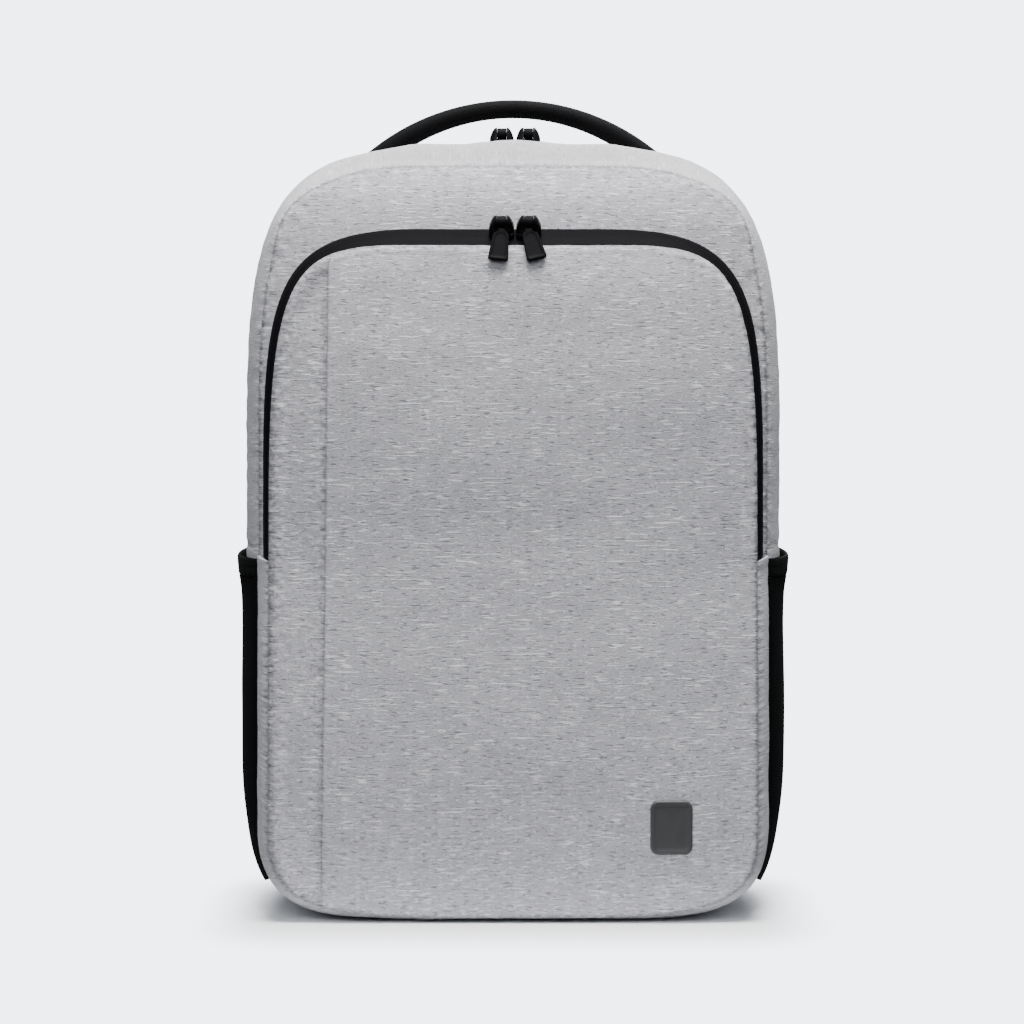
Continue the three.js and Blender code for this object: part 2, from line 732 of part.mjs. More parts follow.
const handleY = backFace - handleBack;
const handleLine = handleRadius - handleThickness / 2;
const handleCentre = bodyHeight + handleRise - handleRadius;
const handlePoint = (angle) =>
  new THREE.Vector3(handleLine * Math.sin(angle), handleY, handleCentre + handleLine * Math.cos(angle));
const depthAxis = new THREE.Vector3(0, 1, 0);
let handleEnd = 0;
while (handlePoint(handleEnd).z > topAt(handlePoint(handleEnd).x, handleY) + 2) handleEnd += 0.01;
const handleSteps = 16;
const handleSections = Array.from({ length: handleSteps + 1 }, (_, i) => {
  const angle = handleEnd * ((2 * i) / handleSteps - 1);
  const outward = new THREE.Vector3(Math.sin(angle), 0, Math.cos(angle));
  return softSection(handlePoint(angle), depthAxis, outward, handleWidth, handleThickness);
});
for (const section of [handleSections[0], handleSections.at(-1)])
  for (const p of section) p.z = topAt(p.x, p.y) - cloth / 2;
const seat = solidOf(rearStrip.geometry).translate([0, 0, gap]);
const handlePieces = solidOf(loft(handleSections)).subtract(seat).decompose();
const handleSolid = handlePieces.reduce((most, solid) => (solid.volume() > most.volume() ? solid : most));
addPiece("top_handle", geometryOf(handleSolid), colours.handle);

// Back pads: two plain cushions with a channel between them

const padWidth = halfWidth - padChannel / 2 - padSideMargin;
const padHeight = bodyHeight - padTopMargin - padBottom;
for (const [name, side] of [["left", -1], ["right", 1]]) {
  const middleX = (side * (padChannel + padWidth)) / 2;
  const middleZ = padBottom + padHeight / 2;
  const loop = roundedLoop(padWidth, padHeight, padCorner, middleX, middleZ);
  const thick = (x, z) => {
    const ease = Math.max(Math.abs(x - middleX) / (padWidth / 2), Math.abs(z - middleZ) / (padHeight / 2));
    return padEdge + (padThickness - padEdge) * (1 - Math.min(1, ease) ** 5);
  };
  addPiece(
    `back_pad_${name}`,
    plate(
      loop,
      () => backFace + gap,
      (x, z) => backFace + gap + thick(x, z),
      [1, 0.95, 0.85, 0.5],
    ),
    colours.pad,
  );
}

// Shoulder straps: padded, from the top of the back to the adjusters, then webbing down to the base

// Middle of the left strap: across as a share of halfWidth, stand as a length behind the back face, in strap
// thicknesses, height as a share of bodyHeight, width as a share of strapWidth.
const strapRows = [
  { across: 0.31, stand: 0, height: 0.925, width: 0.9 },
  { across: 0.315, stand: 1.2, height: 0.935, width: 0.92 },
  { across: 0.33, stand: 2.7, height: 0.9, width: 0.96 },
  { across: 0.37, stand: 3.7, height: 0.82, width: 1 },
  { across: 0.45, stand: 4.2, height: 0.68, width: 1 },
  { across: 0.55, stand: 4.1, height: 0.52, width: 0.93 },
  { across: 0.64, stand: 3.55, height: 0.38, width: 0.8 },
  { across: 0.7, stand: 2.9, height: 0.285, width: 0.62 },
];

const across = new THREE.Vector3(1, 0, 0);
const lastRow = strapRows.at(-1);
const strapEnd = new THREE.Vector3(
  lastRow.across * halfWidth,
  backFace + lastRow.stand * strapThickness,
  lastRow.height * bodyHeight,
);
const tabBase = new THREE.Vector3(halfWidth - tabInset, backFace + gap, tabHeight);
const run = new THREE.Vector3().subVectors(strapEnd, tabBase);
const runLength = run.length();
const runUp = run.clone().normalize(); // along the webbing, towards the strap
const runAcross = across.clone().addScaledVector(runUp, -across.dot(runUp)).normalize();
const runOut = new THREE.Vector3().crossVectors(runAcross, runUp).negate(); // away from the pack
const mirror = (geometry, side) => {
  if (side > 0) return geometry;
  const turned = geometry.clone().applyMatrix4(new THREE.Matrix4().makeScale(-1, 1, 1));
  turned.index.array.reverse();
  return turned;
};

// A flat band bent along a line of (along, out) places, as wide as the webbing, in the run's own directions.
function bentWeb(line, start) {
  const path = line.map(([along, out]) => new THREE.Vector2(along, out));
  const offset = (distance) =>
    path.map((p, i) => {
      const before = path[Math.max(i - 1, 0)];
      const after = path[Math.min(i + 1, path.length - 1)];
      const inward = i > 0 ? new THREE.Vector2().subVectors(p, before).normalize() : null;
      const outward = i < path.length - 1 ? new THREE.Vector2().subVectors(after, p).normalize() : null;
      const a = inward ?? outward;
      const b = outward ?? inward;
      const middle = new THREE.Vector2().addVectors(a, b).normalize();
      return new THREE.Vector2(-middle.y, middle.x).multiplyScalar(distance / middle.dot(a)).add(p);
    });
  const edge = new THREE.Shape([...offset(webThickness / 2), ...offset(-webThickness / 2).reverse()]);
  const geometry = new THREE.ExtrudeGeometry(edge, { depth: webWidth, bevelEnabled: false });
  geometry.translate(0, 0, -webWidth / 2);
  return placedInRun(geometry, start);
}

// Turns a geometry drawn as (along, out, across) into the run's directions, at a length along the run.
function placedInRun(geometry, start) {
  const origin = tabBase.clone().addScaledVector(runUp, start);
  const turn = new THREE.Matrix4().makeBasis(runUp, runOut, runAcross.clone().negate());
  return plainMesh(geometry).applyMatrix4(turn.setPosition(origin));
}

const upperSlot = 2 * webThickness + 5 * gap;
const lowerSlot = webThickness + webSpare;
const lockHeight = 3 * lockBar + upperSlot + lowerSlot;
const lockMiddle = runLength - lockDrop; // middle bar's centre, along the run

const strapPath = (column, scale) => curveThrough(strapRows.map((row, i) => ({ ...row, i })), "i", column);
const strapAcross = strapPath("across");
const strapStand = strapPath("stand");
const strapHeight = strapPath("height");
const strapWide = strapPath("width");
const strapSteps = 20;
const strapPoint = (i) =>
  new THREE.Vector3(
    strapAcross(i) * halfWidth,
    backFace + gap + strapStand(i) * strapThickness,
    strapHeight(i) * bodyHeight,
  );

for (const [name, side] of [["left", -1], ["right", 1]]) {
  const sections = Array.from({ length: strapSteps + 1 }, (_, k) => {
    const i = (k / strapSteps) * (strapRows.length - 1);
    const point = strapPoint(i);
    const small = 0.02;
    const ahead = strapPoint(Math.min(i + small, strapRows.length - 1));
    const behind = strapPoint(Math.max(i - small, 0));
    const along = ahead.sub(behind).normalize();
    if (k === 0) along.set(0, 1, 0);
    if (k === strapSteps) along.copy(runUp).negate();
    const wide = across.clone().addScaledVector(along, -across.dot(along)).normalize();
    const thick = new THREE.Vector3().crossVectors(along, wide);
    return softSection(point, wide, thick, strapWidth * strapWide(i), strapThickness);
  });
  addPiece(`shoulder_strap_${name}`, mirror(loft(sections), side), colours.pad);

  const low = -1.5 * lockBar - lowerSlot;
  const bar = (from, to, width, depth) =>
    solidOf(new THREE.BoxGeometry(to - from, depth, width).translate((from + to) / 2, 0, 0));
  const lock = bar(low, low + lockHeight, lockWidth, lockThickness)
    .subtract(bar(lockBar / 2, lockBar / 2 + upperSlot, webWidth + 2, 2 * lockThickness))
    .subtract(bar(-lockBar / 2 - lowerSlot, -lockBar / 2, webWidth + 2, 2 * lockThickness));
  addPiece(
    `strap_adjuster_${name}`,
    mirror(placedInRun(geometryOf(lock), lockMiddle), side),
    colours.plastic,
  );

  const legOut = lockThickness / 2 + gap + webThickness / 2;
  const turnTop = lockBar / 2 + gap + webThickness / 2;
  const loopLow = lockBar / 2 + upperSlot - gap - webThickness / 2;
  const strapSeat = runLength - lockMiddle - gap;
  addPiece(
    `strap_loop_${name}`,
    mirror(
      bentWeb(
        [
          [strapSeat, -legOut],
          [loopLow, -legOut],
          [loopLow, legOut],
          [strapSeat, legOut],
        ],
        lockMiddle,
      ),
      side,
    ),
    colours.web,
  );
  addPiece(
    `strap_webbing_${name}`,
    mirror(
      bentWeb(
        [
          [tabLength + gap - lockMiddle, 0],
          [tabLength + gap - lockMiddle + webStraight, 0],
          [low - webKick, -legOut],
          [turnTop, -legOut],
          [turnTop, legOut],
          [low - webKick, legOut],
          [low - tailLength, legOut + tailLift],
        ],
        lockMiddle,
      ),
      side,
    ),
    colours.web,
  );

  const tabWide = [1.2, 1.15, 1.08];
  const tabSections = tabWide.map((share, k) => {
    const along = (tabLength * k) / (tabWide.length - 1);
    const centre = tabBase.clone().addScaledVector(runUp, along);
    return softSection(centre, runAcross, runOut, webWidth * share, tabThickness - k);
  });
  for (const p of tabSections[0]) p.y = backFace + gap;
  addPiece(`strap_tab_${name}`, mirror(loft(tabSections), side), colours.web);
}

// Zip sliders and their pullers

// Slider lying on its tape: x along the zip, y across it, z away from the tape.
function sliderGeometry() {
  const base = new THREE.Shape();
  const [l, w] = [sliderLength / 2, sliderWidth / 2];
  base.moveTo(-l, -0.45 * w).lineTo(-0.6 * l, -w).lineTo(0.75 * l, -w).lineTo(l, -0.6 * w);
  base.lineTo(l, 0.6 * w).lineTo(0.75 * l, w).lineTo(-0.6 * l, w).lineTo(-l, 0.45 * w);
  const bevel = 0.6;
  const body = new THREE.ExtrudeGeometry(base, {
    depth: sliderPlate - 2 * bevel,
    bevelThickness: bevel,
    bevelSize: bevel,
    bevelOffset: -bevel,
    bevelSegments: 1,
  });
  body.translate(0, 0, bevel);
  const arch = new THREE.Shape();
  const foot = archSpan / 2;
  const shoulder = 0.62 * foot;
  const sunk = 1;
  arch.moveTo(-foot, -sunk).lineTo(-foot, 0.55 * archRise).lineTo(-shoulder, archRise);
  arch.lineTo(shoulder, archRise).lineTo(foot, 0.55 * archRise).lineTo(foot, -sunk);
  const window = new THREE.Path();
  const [inside, under] = [foot - archLeg, archRise - archBar];
  window.moveTo(-inside, 0).lineTo(inside, 0).lineTo(inside, under - 0.6).lineTo(shoulder, under);
  window.lineTo(-shoulder, under).lineTo(-inside, under - 0.6).closePath();
  arch.holes.push(window);
  const hoop = new THREE.ExtrudeGeometry(arch, { depth: archDepth, bevelEnabled: false });
  hoop.rotateX(Math.PI / 2).translate(0, archDepth / 2, sliderPlate);
  return geometryOf(solidOf(body).add(solidOf(hoop)));
}

// Puller about its eye: x across it, y away from the pack, z up, with the tip at the bottom.
function pullerGeometry() {
  const ring = eyeHole + eyeWall;
  const half = pullerThickness / 2;
  const lip = Math.asin(half / ring);
  const side = new THREE.Shape();
  side.absarc(0, 0, ring, -Math.PI / 2 + lip, 1.5 * Math.PI - lip, false);
  side.lineTo(-half, -pullerNeck).lineTo(-half, -pullerNeck - 1);
  side.lineTo(-half, -pullerLength + 1).lineTo(-half + 0.6, -pullerLength).lineTo(half - 0.6, -pullerLength);
  side.lineTo(half, -pullerLength + 1).lineTo(half, -pullerNeck - 1).lineTo(half, -pullerNeck);
  const eye = new THREE.Path();
  eye.absarc(0, 0, eyeHole, 0, 2 * Math.PI, true);
  side.holes.push(eye);
  const drawn = new THREE.ExtrudeGeometry(side, { depth: 2, bevelEnabled: false, curveSegments: 9 });
  const solid = plainMesh(drawn).translate(0, 0, -1);
  const place = solid.attributes.position;
  for (let i = 0; i < place.count; i++) {
    const length = -place.getY(i);
    const down = THREE.MathUtils.clamp((length - pullerNeck - 1) / (pullerLength - pullerNeck - 1), 0, 1);
    const body = THREE.MathUtils.lerp(pullerTopWidth, pullerTipWidth, down) / 2;
    const tip = length > pullerLength - 0.5 ? 0.8 : 1;
    place.setZ(i, place.getZ(i) * (length > pullerNeck + 0.5 ? body * tip : eyeWidth / 2));
  }
  solid.applyMatrix4(
    new THREE.Matrix4().makeBasis(
      new THREE.Vector3(0, -1, 0),
      new THREE.Vector3(0, 0, 1),
      new THREE.Vector3(-1, 0, 0),
    ),
  );
  return solid;
}

// Places on the two zips: the tape's outer middle and its outward tilt above the horizontal, in degrees.
const frontZip = (() => {
  const split = sidePocketHeight + gap / 2;
  const [rear, face] = [outline(zipOutline, split)[halfSteps], outline(faceOutline, split)[halfSteps]];
  const edges = [0.35, 0.7].map((share) => {
    const z = THREE.MathUtils.lerp(rear.y, face.y, share ** 1.6);
    const rearY = panelFront(0, z) - gap;
    return new THREE.Vector2(rearY + share * (faceInside(0, z) + gap - rearY), z);
  });
  const slope = new THREE.Vector2().subVectors(edges[1], edges[0]);
  return { middle: edges[0].lerp(edges[1], 0.5), out: new THREE.Vector2(slope.y, -slope.x).normalize() };
})();
const topZip = (() => {
  const drop = (cloth - tape) / 2;
  const middleShare = (zipFrontShare + zipRearShare) / 2;
  const [front, middle, rear] = [zipFrontShare, middleShare, zipRearShare].map((share) => {
    const { y: z } = gussetLoop(share, () => drop)[halfSteps];
    return new THREE.Vector2(gussetY(share, 0, z), z);
  });
  const slope = rear.sub(front);
  return { middle, out: new THREE.Vector2(-slope.y, slope.x).normalize() };
})();

const axisHeight = sliderPlate + archRise - archBar / 2;
const zips = [
  { name: "front", zip: frontZip, tip: () => THREE.MathUtils.degToRad(-frontPullerLean) },
  {
    name: "top",
    zip: topZip,
    tip: (up) => Math.PI / 2 - (Math.atan2(up.x, up.y) + THREE.MathUtils.degToRad(topPullerDip)),
  },
];
for (const { name, zip, tip } of zips) {
  const out = new THREE.Vector3(0, zip.out.x, zip.out.y);
  const acrossTape = new THREE.Vector3().crossVectors(out, across);
  for (const [sideName, side] of [["left", -1], ["right", 1]]) {
    const x = sliderShift + (side * sliderSpread) / 2;
    const seat = new THREE.Vector3(x, zip.middle.x, zip.middle.y);
    const slider = sliderGeometry();
    if (side > 0) slider.rotateZ(Math.PI);
    slider.applyMatrix4(
      new THREE.Matrix4()
        .makeBasis(across, acrossTape, out)
        .setPosition(seat.clone().addScaledVector(out, gap)),
    );
    addPiece(`slider_${name}_${sideName}`, slider, colours.metal);
    const splay = side < 0 ? -leftPullerSplay : rightPullerSplay;
    const puller = pullerGeometry();
    puller.rotateY(THREE.MathUtils.degToRad(-splay));
    puller.rotateX(tip(zip.out));
    const pivot = seat.clone().addScaledVector(out, gap + axisHeight);
    puller.translate(pivot.x, pivot.y, pivot.z);
    addPiece(`puller_${name}_${sideName}`, puller, colours.puller);
  }
}

export default pack;
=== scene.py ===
import math

import bmesh
import bpy
import numpy as np
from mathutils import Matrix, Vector, noise


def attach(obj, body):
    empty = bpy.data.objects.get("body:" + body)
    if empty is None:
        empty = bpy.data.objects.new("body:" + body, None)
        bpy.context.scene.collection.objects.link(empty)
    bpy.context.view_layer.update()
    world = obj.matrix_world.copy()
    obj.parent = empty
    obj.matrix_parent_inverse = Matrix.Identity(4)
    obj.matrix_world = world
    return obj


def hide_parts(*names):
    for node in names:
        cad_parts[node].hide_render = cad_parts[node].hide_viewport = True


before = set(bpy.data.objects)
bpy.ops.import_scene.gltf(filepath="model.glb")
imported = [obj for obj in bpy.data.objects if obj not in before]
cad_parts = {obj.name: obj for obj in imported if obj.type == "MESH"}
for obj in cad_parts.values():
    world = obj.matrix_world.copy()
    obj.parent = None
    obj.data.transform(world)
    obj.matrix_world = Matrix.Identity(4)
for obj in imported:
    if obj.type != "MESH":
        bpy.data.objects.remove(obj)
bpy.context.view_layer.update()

# Camera, floor and light
# The pack is seen straight from the front, a little from above, by a long lens. It stands on a plain
# pale floor that runs out into an even background, under a broad soft light from above and in front.

BACKGROUND = (0.79, 0.835, 0.885, 1)
BACKGROUND_LEVEL = 6.0
AMBIENT_LOW = 0.07
AMBIENT_HIGH = 0.75
FLOOR_TONES = ((0.80, 0.81, 0.825, 1), (0.82, 0.83, 0.845, 1))
FLOOR_HALF = 3
FLOOR_DROP = 0.0004
FLOOR_MIDDLE = (0, -0.0128, 0)
FLOOR_PLAIN = (0.128, 0.068, 0)  # from its middle to where it begins to fade
FLOOR_FADE = (15, 8, 0)
CAMERA_PLACE = (-0.0006, -2.2, 0.300)
CAMERA_DOWN = 1.775
LENS = 131.4
scene = bpy.context.scene


def put_in(name, data):
    """A new object in the scene."""
    made = bpy.data.objects.new(name, data)
    scene.collection.objects.link(made)
    return made


def add_node(tree, kind, inputs=None, **settings):
    """Adds a node, sets its options and sets or links its inputs."""
    made = tree.nodes.new(kind)
    for key, value in settings.items():
        setattr(made, key, value)
    for key, value in (inputs or {}).items():
        if isinstance(value, bpy.types.NodeSocket):
            tree.links.new(value, made.inputs[key])
        else:
            made.inputs[key].default_value = value
    return made


def ranged(tree, value, low=0.0, high=1.0, to_low=0.0, to_high=1.0, **settings):
    """A value brought from one range into another."""
    given = {"Value": value, "From Min": low, "From Max": high, "To Min": to_low, "To Max": to_high}
    return add_node(tree, "ShaderNodeMapRange", given, **settings).outputs[0]


def mixed(tree, share, first, second, blend="MIX"):
    given = {0: share, 6: first, 7: second}
    return add_node(tree, "ShaderNodeMix", given, data_type="RGBA", blend_type=blend).outputs[2]


camera = put_in("camera", bpy.data.cameras.new("camera"))
camera.data.lens = LENS
camera.data.sensor_width = 36
camera.data.clip_start = 0.05
camera.data.clip_end = 40
camera.location = CAMERA_PLACE
camera.rotation_euler = (math.radians(90 - CAMERA_DOWN), 0, 0)
scene.camera = camera

world = bpy.data.worlds.new("studio")
scene.world = world
world.use_nodes = True
room_tree = world.node_tree
room_tree.nodes.clear()
seen = add_node(room_tree, "ShaderNodeLightPath").outputs["Is Camera Ray"]
looking = add_node(room_tree, "ShaderNodeTexCoord").outputs["Generated"]
height = add_node(room_tree, "ShaderNodeSeparateXYZ", {"Vector": looking}).outputs["Z"]
ambient = ranged(room_tree, height, -0.3, 0.5, AMBIENT_LOW, AMBIENT_HIGH)
level = ranged(room_tree, seen, to_low=ambient, to_high=BACKGROUND_LEVEL)
room = add_node(room_tree, "ShaderNodeBackground", {"Color": BACKGROUND, "Strength": level})
add_node(room_tree, "ShaderNodeOutputWorld", {"Surface": room.outputs[0]})

floor_material = bpy.data.materials.new("pale_floor")
floor_material.use_nodes = True
floor_tree = floor_material.node_tree
floor_tree.nodes.clear()
floor_place = add_node(floor_tree, "ShaderNodeTexCoord").outputs["Object"]
floor_off = floor_place
for step, amount in (
    ("SUBTRACT", FLOOR_MIDDLE),
    ("ABSOLUTE", (0, 0, 0)),
    ("SUBTRACT", FLOOR_PLAIN),
    ("MAXIMUM", (0, 0, 0)),
    ("MULTIPLY", FLOOR_FADE),
):
    given = {0: floor_off, 1: amount}
    floor_off = add_node(floor_tree, "ShaderNodeVectorMath", given, operation=step).outputs[0]
away = add_node(floor_tree, "ShaderNodeVectorMath", {0: floor_off}, operation="LENGTH").outputs["Value"]
fade = ranged(floor_tree, away, 0.1, 1.0, interpolation_type="SMOOTHSTEP")
grain = add_node(floor_tree, "ShaderNodeTexNoise", {"Vector": floor_place, "Scale": 9}).outputs[0]
paint = add_node(floor_tree, "ShaderNodeBsdfDiffuse", {"Color": mixed(floor_tree, grain, *FLOOR_TONES)})
clear = add_node(floor_tree, "ShaderNodeBsdfTransparent")
faded = add_node(floor_tree, "ShaderNodeMixShader", {0: fade, 1: paint.outputs[0], 2: clear.outputs[0]})
add_node(floor_tree, "ShaderNodeOutputMaterial", {"Surface": faded.outputs[0]})
floor_mesh = bpy.data.meshes.new("floor")
corners = ((-1, -1), (1, -1), (1, 1), (-1, 1))
corners = [(x * FLOOR_HALF, y * FLOOR_HALF, -FLOOR_DROP) for x, y in corners]
floor_mesh.from_pydata(corners, [], [(0, 1, 2, 3)])
floor_mesh.materials.append(floor_material)
put_in("floor", floor_mesh)

for name, place, target, size, power, tint in (
    ("sky_panel", (0.1, -0.35, 1.9), (0, 0, 0.25), 1.1, 86, (1.0, 0.99, 0.985)),
    ("front_panel", (-0.5, -2.1, 1.5), (0, 0, 0.22), 1.2, 17.5, (1.0, 0.995, 1.0)),
    ("back_panel", (0.3, 2.0, 1.5), (0, 0, 0.2), 1.4, 14, (1.0, 0.995, 1.0)),
):
    lamp = bpy.data.lights.new(name, "AREA")
    lamp.shape = "DISK"
    lamp.size = size
    lamp.energy = power
    lamp.color = tint
    light = put_in(name, lamp)
    light.location = place
    light.rotation_euler = (Vector(target) - Vector(place)).to_track_quat("-Z", "Y").to_euler()

# Lower gusset
# The grey padded cloth band round the lower half of the pack, with the flat base in the middle of it. It is
# cut from one length of smooth heather cloth and sewn to the front and back panels, the seams turned in.

MM = 0.001
BODY_HEIGHT = 450.0
BODY_DEPTH = 102.0
BACK_FACE = 60.0
CLOTH = 2.4
FINE_CLOTH = 1.6
GAP = 0.3
EDGE_ROUND = 10.0
CREST = 5.0
CREST_SHARE = 0.6
TOP_BROW = 2.8
BROW_PLACE = 52.0
BROW_WIDTH = 18.0
PANEL_CROWN = 4.0
SIDE_POCKET_HEIGHT = 206.0
LAP = 10.0
POCKET_DIP = 2.0
INSIDE_BACK = BACK_FACE - CLOTH - GAP
GUSSET_DEPTH = BODY_DEPTH - 2 * (CLOTH + GAP)
BODY_SHAPE = {
    "half": 156.5,
    "bottom": 0.0,
    "top": BODY_HEIGHT - CREST,
    "top_corner": (100, 157, 0.85, 0.7),
    "base_corner": (58, 87, 0.71, 0.77),
}
STRETCHES = (34, 60, 60, 50, 150, 44)  # columns in each stretch of half an outline
SPLIT_COLUMN = sum(STRETCHES[:3])
HALF_COLUMNS = sum(STRETCHES)
ALL_COLUMNS = 2 * HALF_COLUMNS
NO_SEAM = 9.0  # a distance at which a seam no longer shows
TOP_SHARES = (0.8, 0.98)  # shares of the height over which the side becomes the top
BASE_SHARE = 0.12
CORNER_FILL = 0.4
PEAK = 6.75  # brings the peak of t * t * (1 - t) to 1
GUSSET_PUCKER = 0.95
GUSSET_PUCKER_SIZE = (6.5, 26, 6.5)
GUSSET_PUCKER_REACH = 6.5
GUSSET_FOLD = 0.75
GUSSET_FOLD_SIZE = (46, 60, 58)
GUSSET_SEAM = 3.6
HEM_FOLD = 3.0
HEM_STITCH = 8.0


def curve_through(places, values):
    """A smooth curve through the values at the places."""
    key = np.array(places, float)
    value = np.array(values, float)
    last = len(key) - 1
    before = np.maximum(np.arange(last + 1) - 1, 0)
    after = np.minimum(np.arange(last + 1) + 1, last)
    slope = (value[after] - value[before]) / (key[after] - key[before])

    def at(place):
        place = np.clip(place, key[0], key[-1])
        i = np.clip(np.searchsorted(key, place, side="right") - 1, 0, last - 1)
        span = key[i + 1] - key[i]
        t = (place - key[i]) / span
        start = (2 * t**3 - 3 * t**2 + 1) * value[i] + (t**3 - 2 * t**2 + t) * span * slope[i]
        end = (3 * t**2 - 2 * t**3) * value[i + 1] + (t**3 - t**2) * span * slope[i + 1]
        return start + end

    return at


def smooth(value, low, high):
    t = np.clip((value - low) / (high - low), 0, 1)
    return t * t * (3 - 2 * t)


def hump(value, place, width):
    return np.exp(-(((value - place) / width) ** 2))


def points_at(x, y, z):
    """Points from their three coordinates, any of which may be one number for all of them."""
    return np.stack(np.broadcast_arrays(x, y, z), -1).astype(float)


lean_at = curve_through((0, 0.3, 0.6, 0.8, 0.88, 0.93, 0.97), (1, 1.005, 1, 0.972, 0.94, 0.888, 0.79))
GUSSET_SHARES = (0, 0.07, 0.18, 0.32, 0.45, 0.6, 0.7, 0.84, 0.93, 1)
side_inset_at = curve_through(GUSSET_SHARES, (0.8, 0.35, 0.15, 0.06, 0.01, 0, 0.05, 0.3, 0.6, 0.93))
top_inset_at = curve_through(GUSSET_SHARES, (1.6, 1.25, 1, 0.74, 0.5, 0.14, 0, 0.38, 0.78, 1.1))
base_inset_at = curve_through(GUSSET_SHARES, (0.8, 0.2, 0, 0, 0, 0, 0, 0, 0.1, 0.3))
crown_at = curve_through(GUSSET_SHARES, (0.4, 0.5, 0.6, 0.8, 0.95, 1, 1, 0.6, 0.3, 0.06))


def bend_of(a, b, c, d, steps):
    """A curve from a to d that is pulled towards b and c."""
    t = np.linspace(0, 1, steps + 1)[:, None]
    a, b, c, d = (np.array(p, float) for p in (a, b, c, d))
    return (1 - t) ** 3 * a + 3 * (1 - t) ** 2 * t * b + 3 * (1 - t) * t**2 * c + t**3 * d


def outline(shape, split, crown=0.0):
    """A closed outline from the front: from the middle of the base to the right, over the top and back."""
    half, bottom, top = shape["half"], shape["bottom"], shape["top"]
    across, down, across_pull, down_pull = shape["top_corner"]
    base_across, up, base_pull, up_pull = shape["base_corner"]
    base_end, top_end = half - base_across, half - across
    low_corner = (
        (base_end, bottom),
        (base_end + base_across * base_pull, bottom),
        (half, bottom + up * (1 - up_pull)),
        (half, bottom + up),
    )
    high_corner = (
        (half, top - down),
        (half, top - down * (1 - down_pull)),
        (top_end + across * across_pull, top),
        (top_end, top),
    )
    stretches = (
        np.linspace((0, bottom), low_corner[0], STRETCHES[0] + 1),
        bend_of(*low_corner, STRETCHES[1]),
        np.linspace(low_corner[3], (half, split), STRETCHES[2] + 1),
        np.linspace((half, split), high_corner[0], STRETCHES[3] + 1),
        bend_of(*high_corner, STRETCHES[4]),
        np.linspace(high_corner[3], (0, top), STRETCHES[5] + 1),
    )
    right = np.vstack([stretches[0]] + [line[1:] for line in stretches[1:]])
    over = (right[:, 0] < top_end) & (right[:, 1] > split)
    right[over, 1] += crown * (1 + np.cos(math.pi * right[over, 0] / top_end)) / 2
    return np.vstack([right, right[1:-1][::-1] * (-1, 1)])


def unit(ways):
    return ways / np.maximum(np.linalg.norm(ways, axis=-1), 1e-6)[..., None]


def loop_normals(loop):
    """The outward direction at each point of a closed outline."""
    along = unit(np.roll(loop, -1, 0) - np.roll(loop, 1, 0))
    return np.stack([along[:, 1], -along[:, 0]], 1)


def length_along(line):
    return np.concatenate([[0], np.cumsum(np.linalg.norm(np.diff(line, axis=0), axis=1))])


def run_of(loop, columns):
    """The length of a closed outline at some of its columns, growing all the way along them."""
    run = length_along(loop)[columns]
    for k in np.nonzero(np.diff(run) < 0)[0]:
        run[: k + 1] -= run[k] - run[k + 1] + 2.0
    return run


def gusset_loop(share, extra=0.0, split=SIDE_POCKET_HEIGHT):
    """The gusset's outline at a share of its depth, moved in by an extra distance."""
    loop = outline(BODY_SHAPE, split, CREST * crown_at(share))
    z = loop[:, 1]
    topness = smooth(z, *(share_up * BODY_HEIGHT for share_up in TOP_SHARES))
    baseness = 1 - smooth(z, 0, BASE_SHARE * BODY_HEIGHT)
    side = side_inset_at(share) * (1 - topness - baseness)
    corner = 1 - CORNER_FILL * PEAK * topness**2 * (1 - topness)
    shares = (side + top_inset_at(share) * topness) * corner + base_inset_at(share) * baseness
    brow = TOP_BROW * hump(np.abs(loop[:, 0]), BROW_PLACE, BROW_WIDTH) * topness
    brow = brow * smooth(share, 0, 0.15) * smooth(1 - share, 0, 0.25)
    return loop - loop_normals(loop) * (EDGE_ROUND * shares + extra - brow)[:, None]


def reach(x, z, shape):
    """0 at the middle of an outline and 1 at its edge."""
    middle, tall = (shape["bottom"] + shape["top"]) / 2, (shape["top"] - shape["bottom"]) / 2
    return np.minimum(1, (np.abs(x / shape["half"]) ** 6 + np.abs((z - middle) / tall) ** 6) ** (1 / 6))


def panel_edge(z):
    return BACK_FACE - BODY_DEPTH * lean_at(z / BODY_HEIGHT)


def panel_front(x, z, distance=0.0):
    return panel_edge(z) - PANEL_CROWN * (1 - reach(x, z, BODY_SHAPE) ** 3)


def gusset_y(share, x, z):
    crest_y = INSIDE_BACK - CREST_SHARE * GUSSET_DEPTH
    front = panel_front(x, z) + CLOTH + GAP
    if share <= CREST_SHARE:
        return np.full_like(z, INSIDE_BACK - share * GUSSET_DEPTH)
    return crest_y + (share - CREST_SHARE) / (1 - CREST_SHARE) * (front - crest_y)


def gusset_points(share, extra=0.0, split=SIDE_POCKET_HEIGHT):
    x, z = gusset_loop(share, extra, split).T
    return points_at(x, gusset_y(share, x, z), z)


def noise_at(places, size, seed):
    """Soft noise from -1 to 1 at places in millimetres, with lumps of a given size along each axis."""
    scaled = np.asarray(places, float) / size
    flat = scaled.reshape(-1, 3) + seed * 17.3
    values = np.fromiter((noise.noise(Vector(p)) for p in flat), float, len(flat))
    return values.reshape(scaled.shape[:-1])


def seam_roll(distance, depth, width):
    """How far cloth turns in towards a seam, at a distance from it."""
    return depth * (1 - np.clip(distance / width, 0, 1)) ** 2


def put_spots(mesh, spots):
    """Gives each point its cloth's own length, width and distance from the nearest seam."""
    layer = mesh.attributes.get("cloth_place")
    layer = layer or mesh.attributes.new("cloth_place", "FLOAT_VECTOR", "POINT")
    layer.data.foreach_set("vector", (spots * MM).astype(np.float32).ravel())


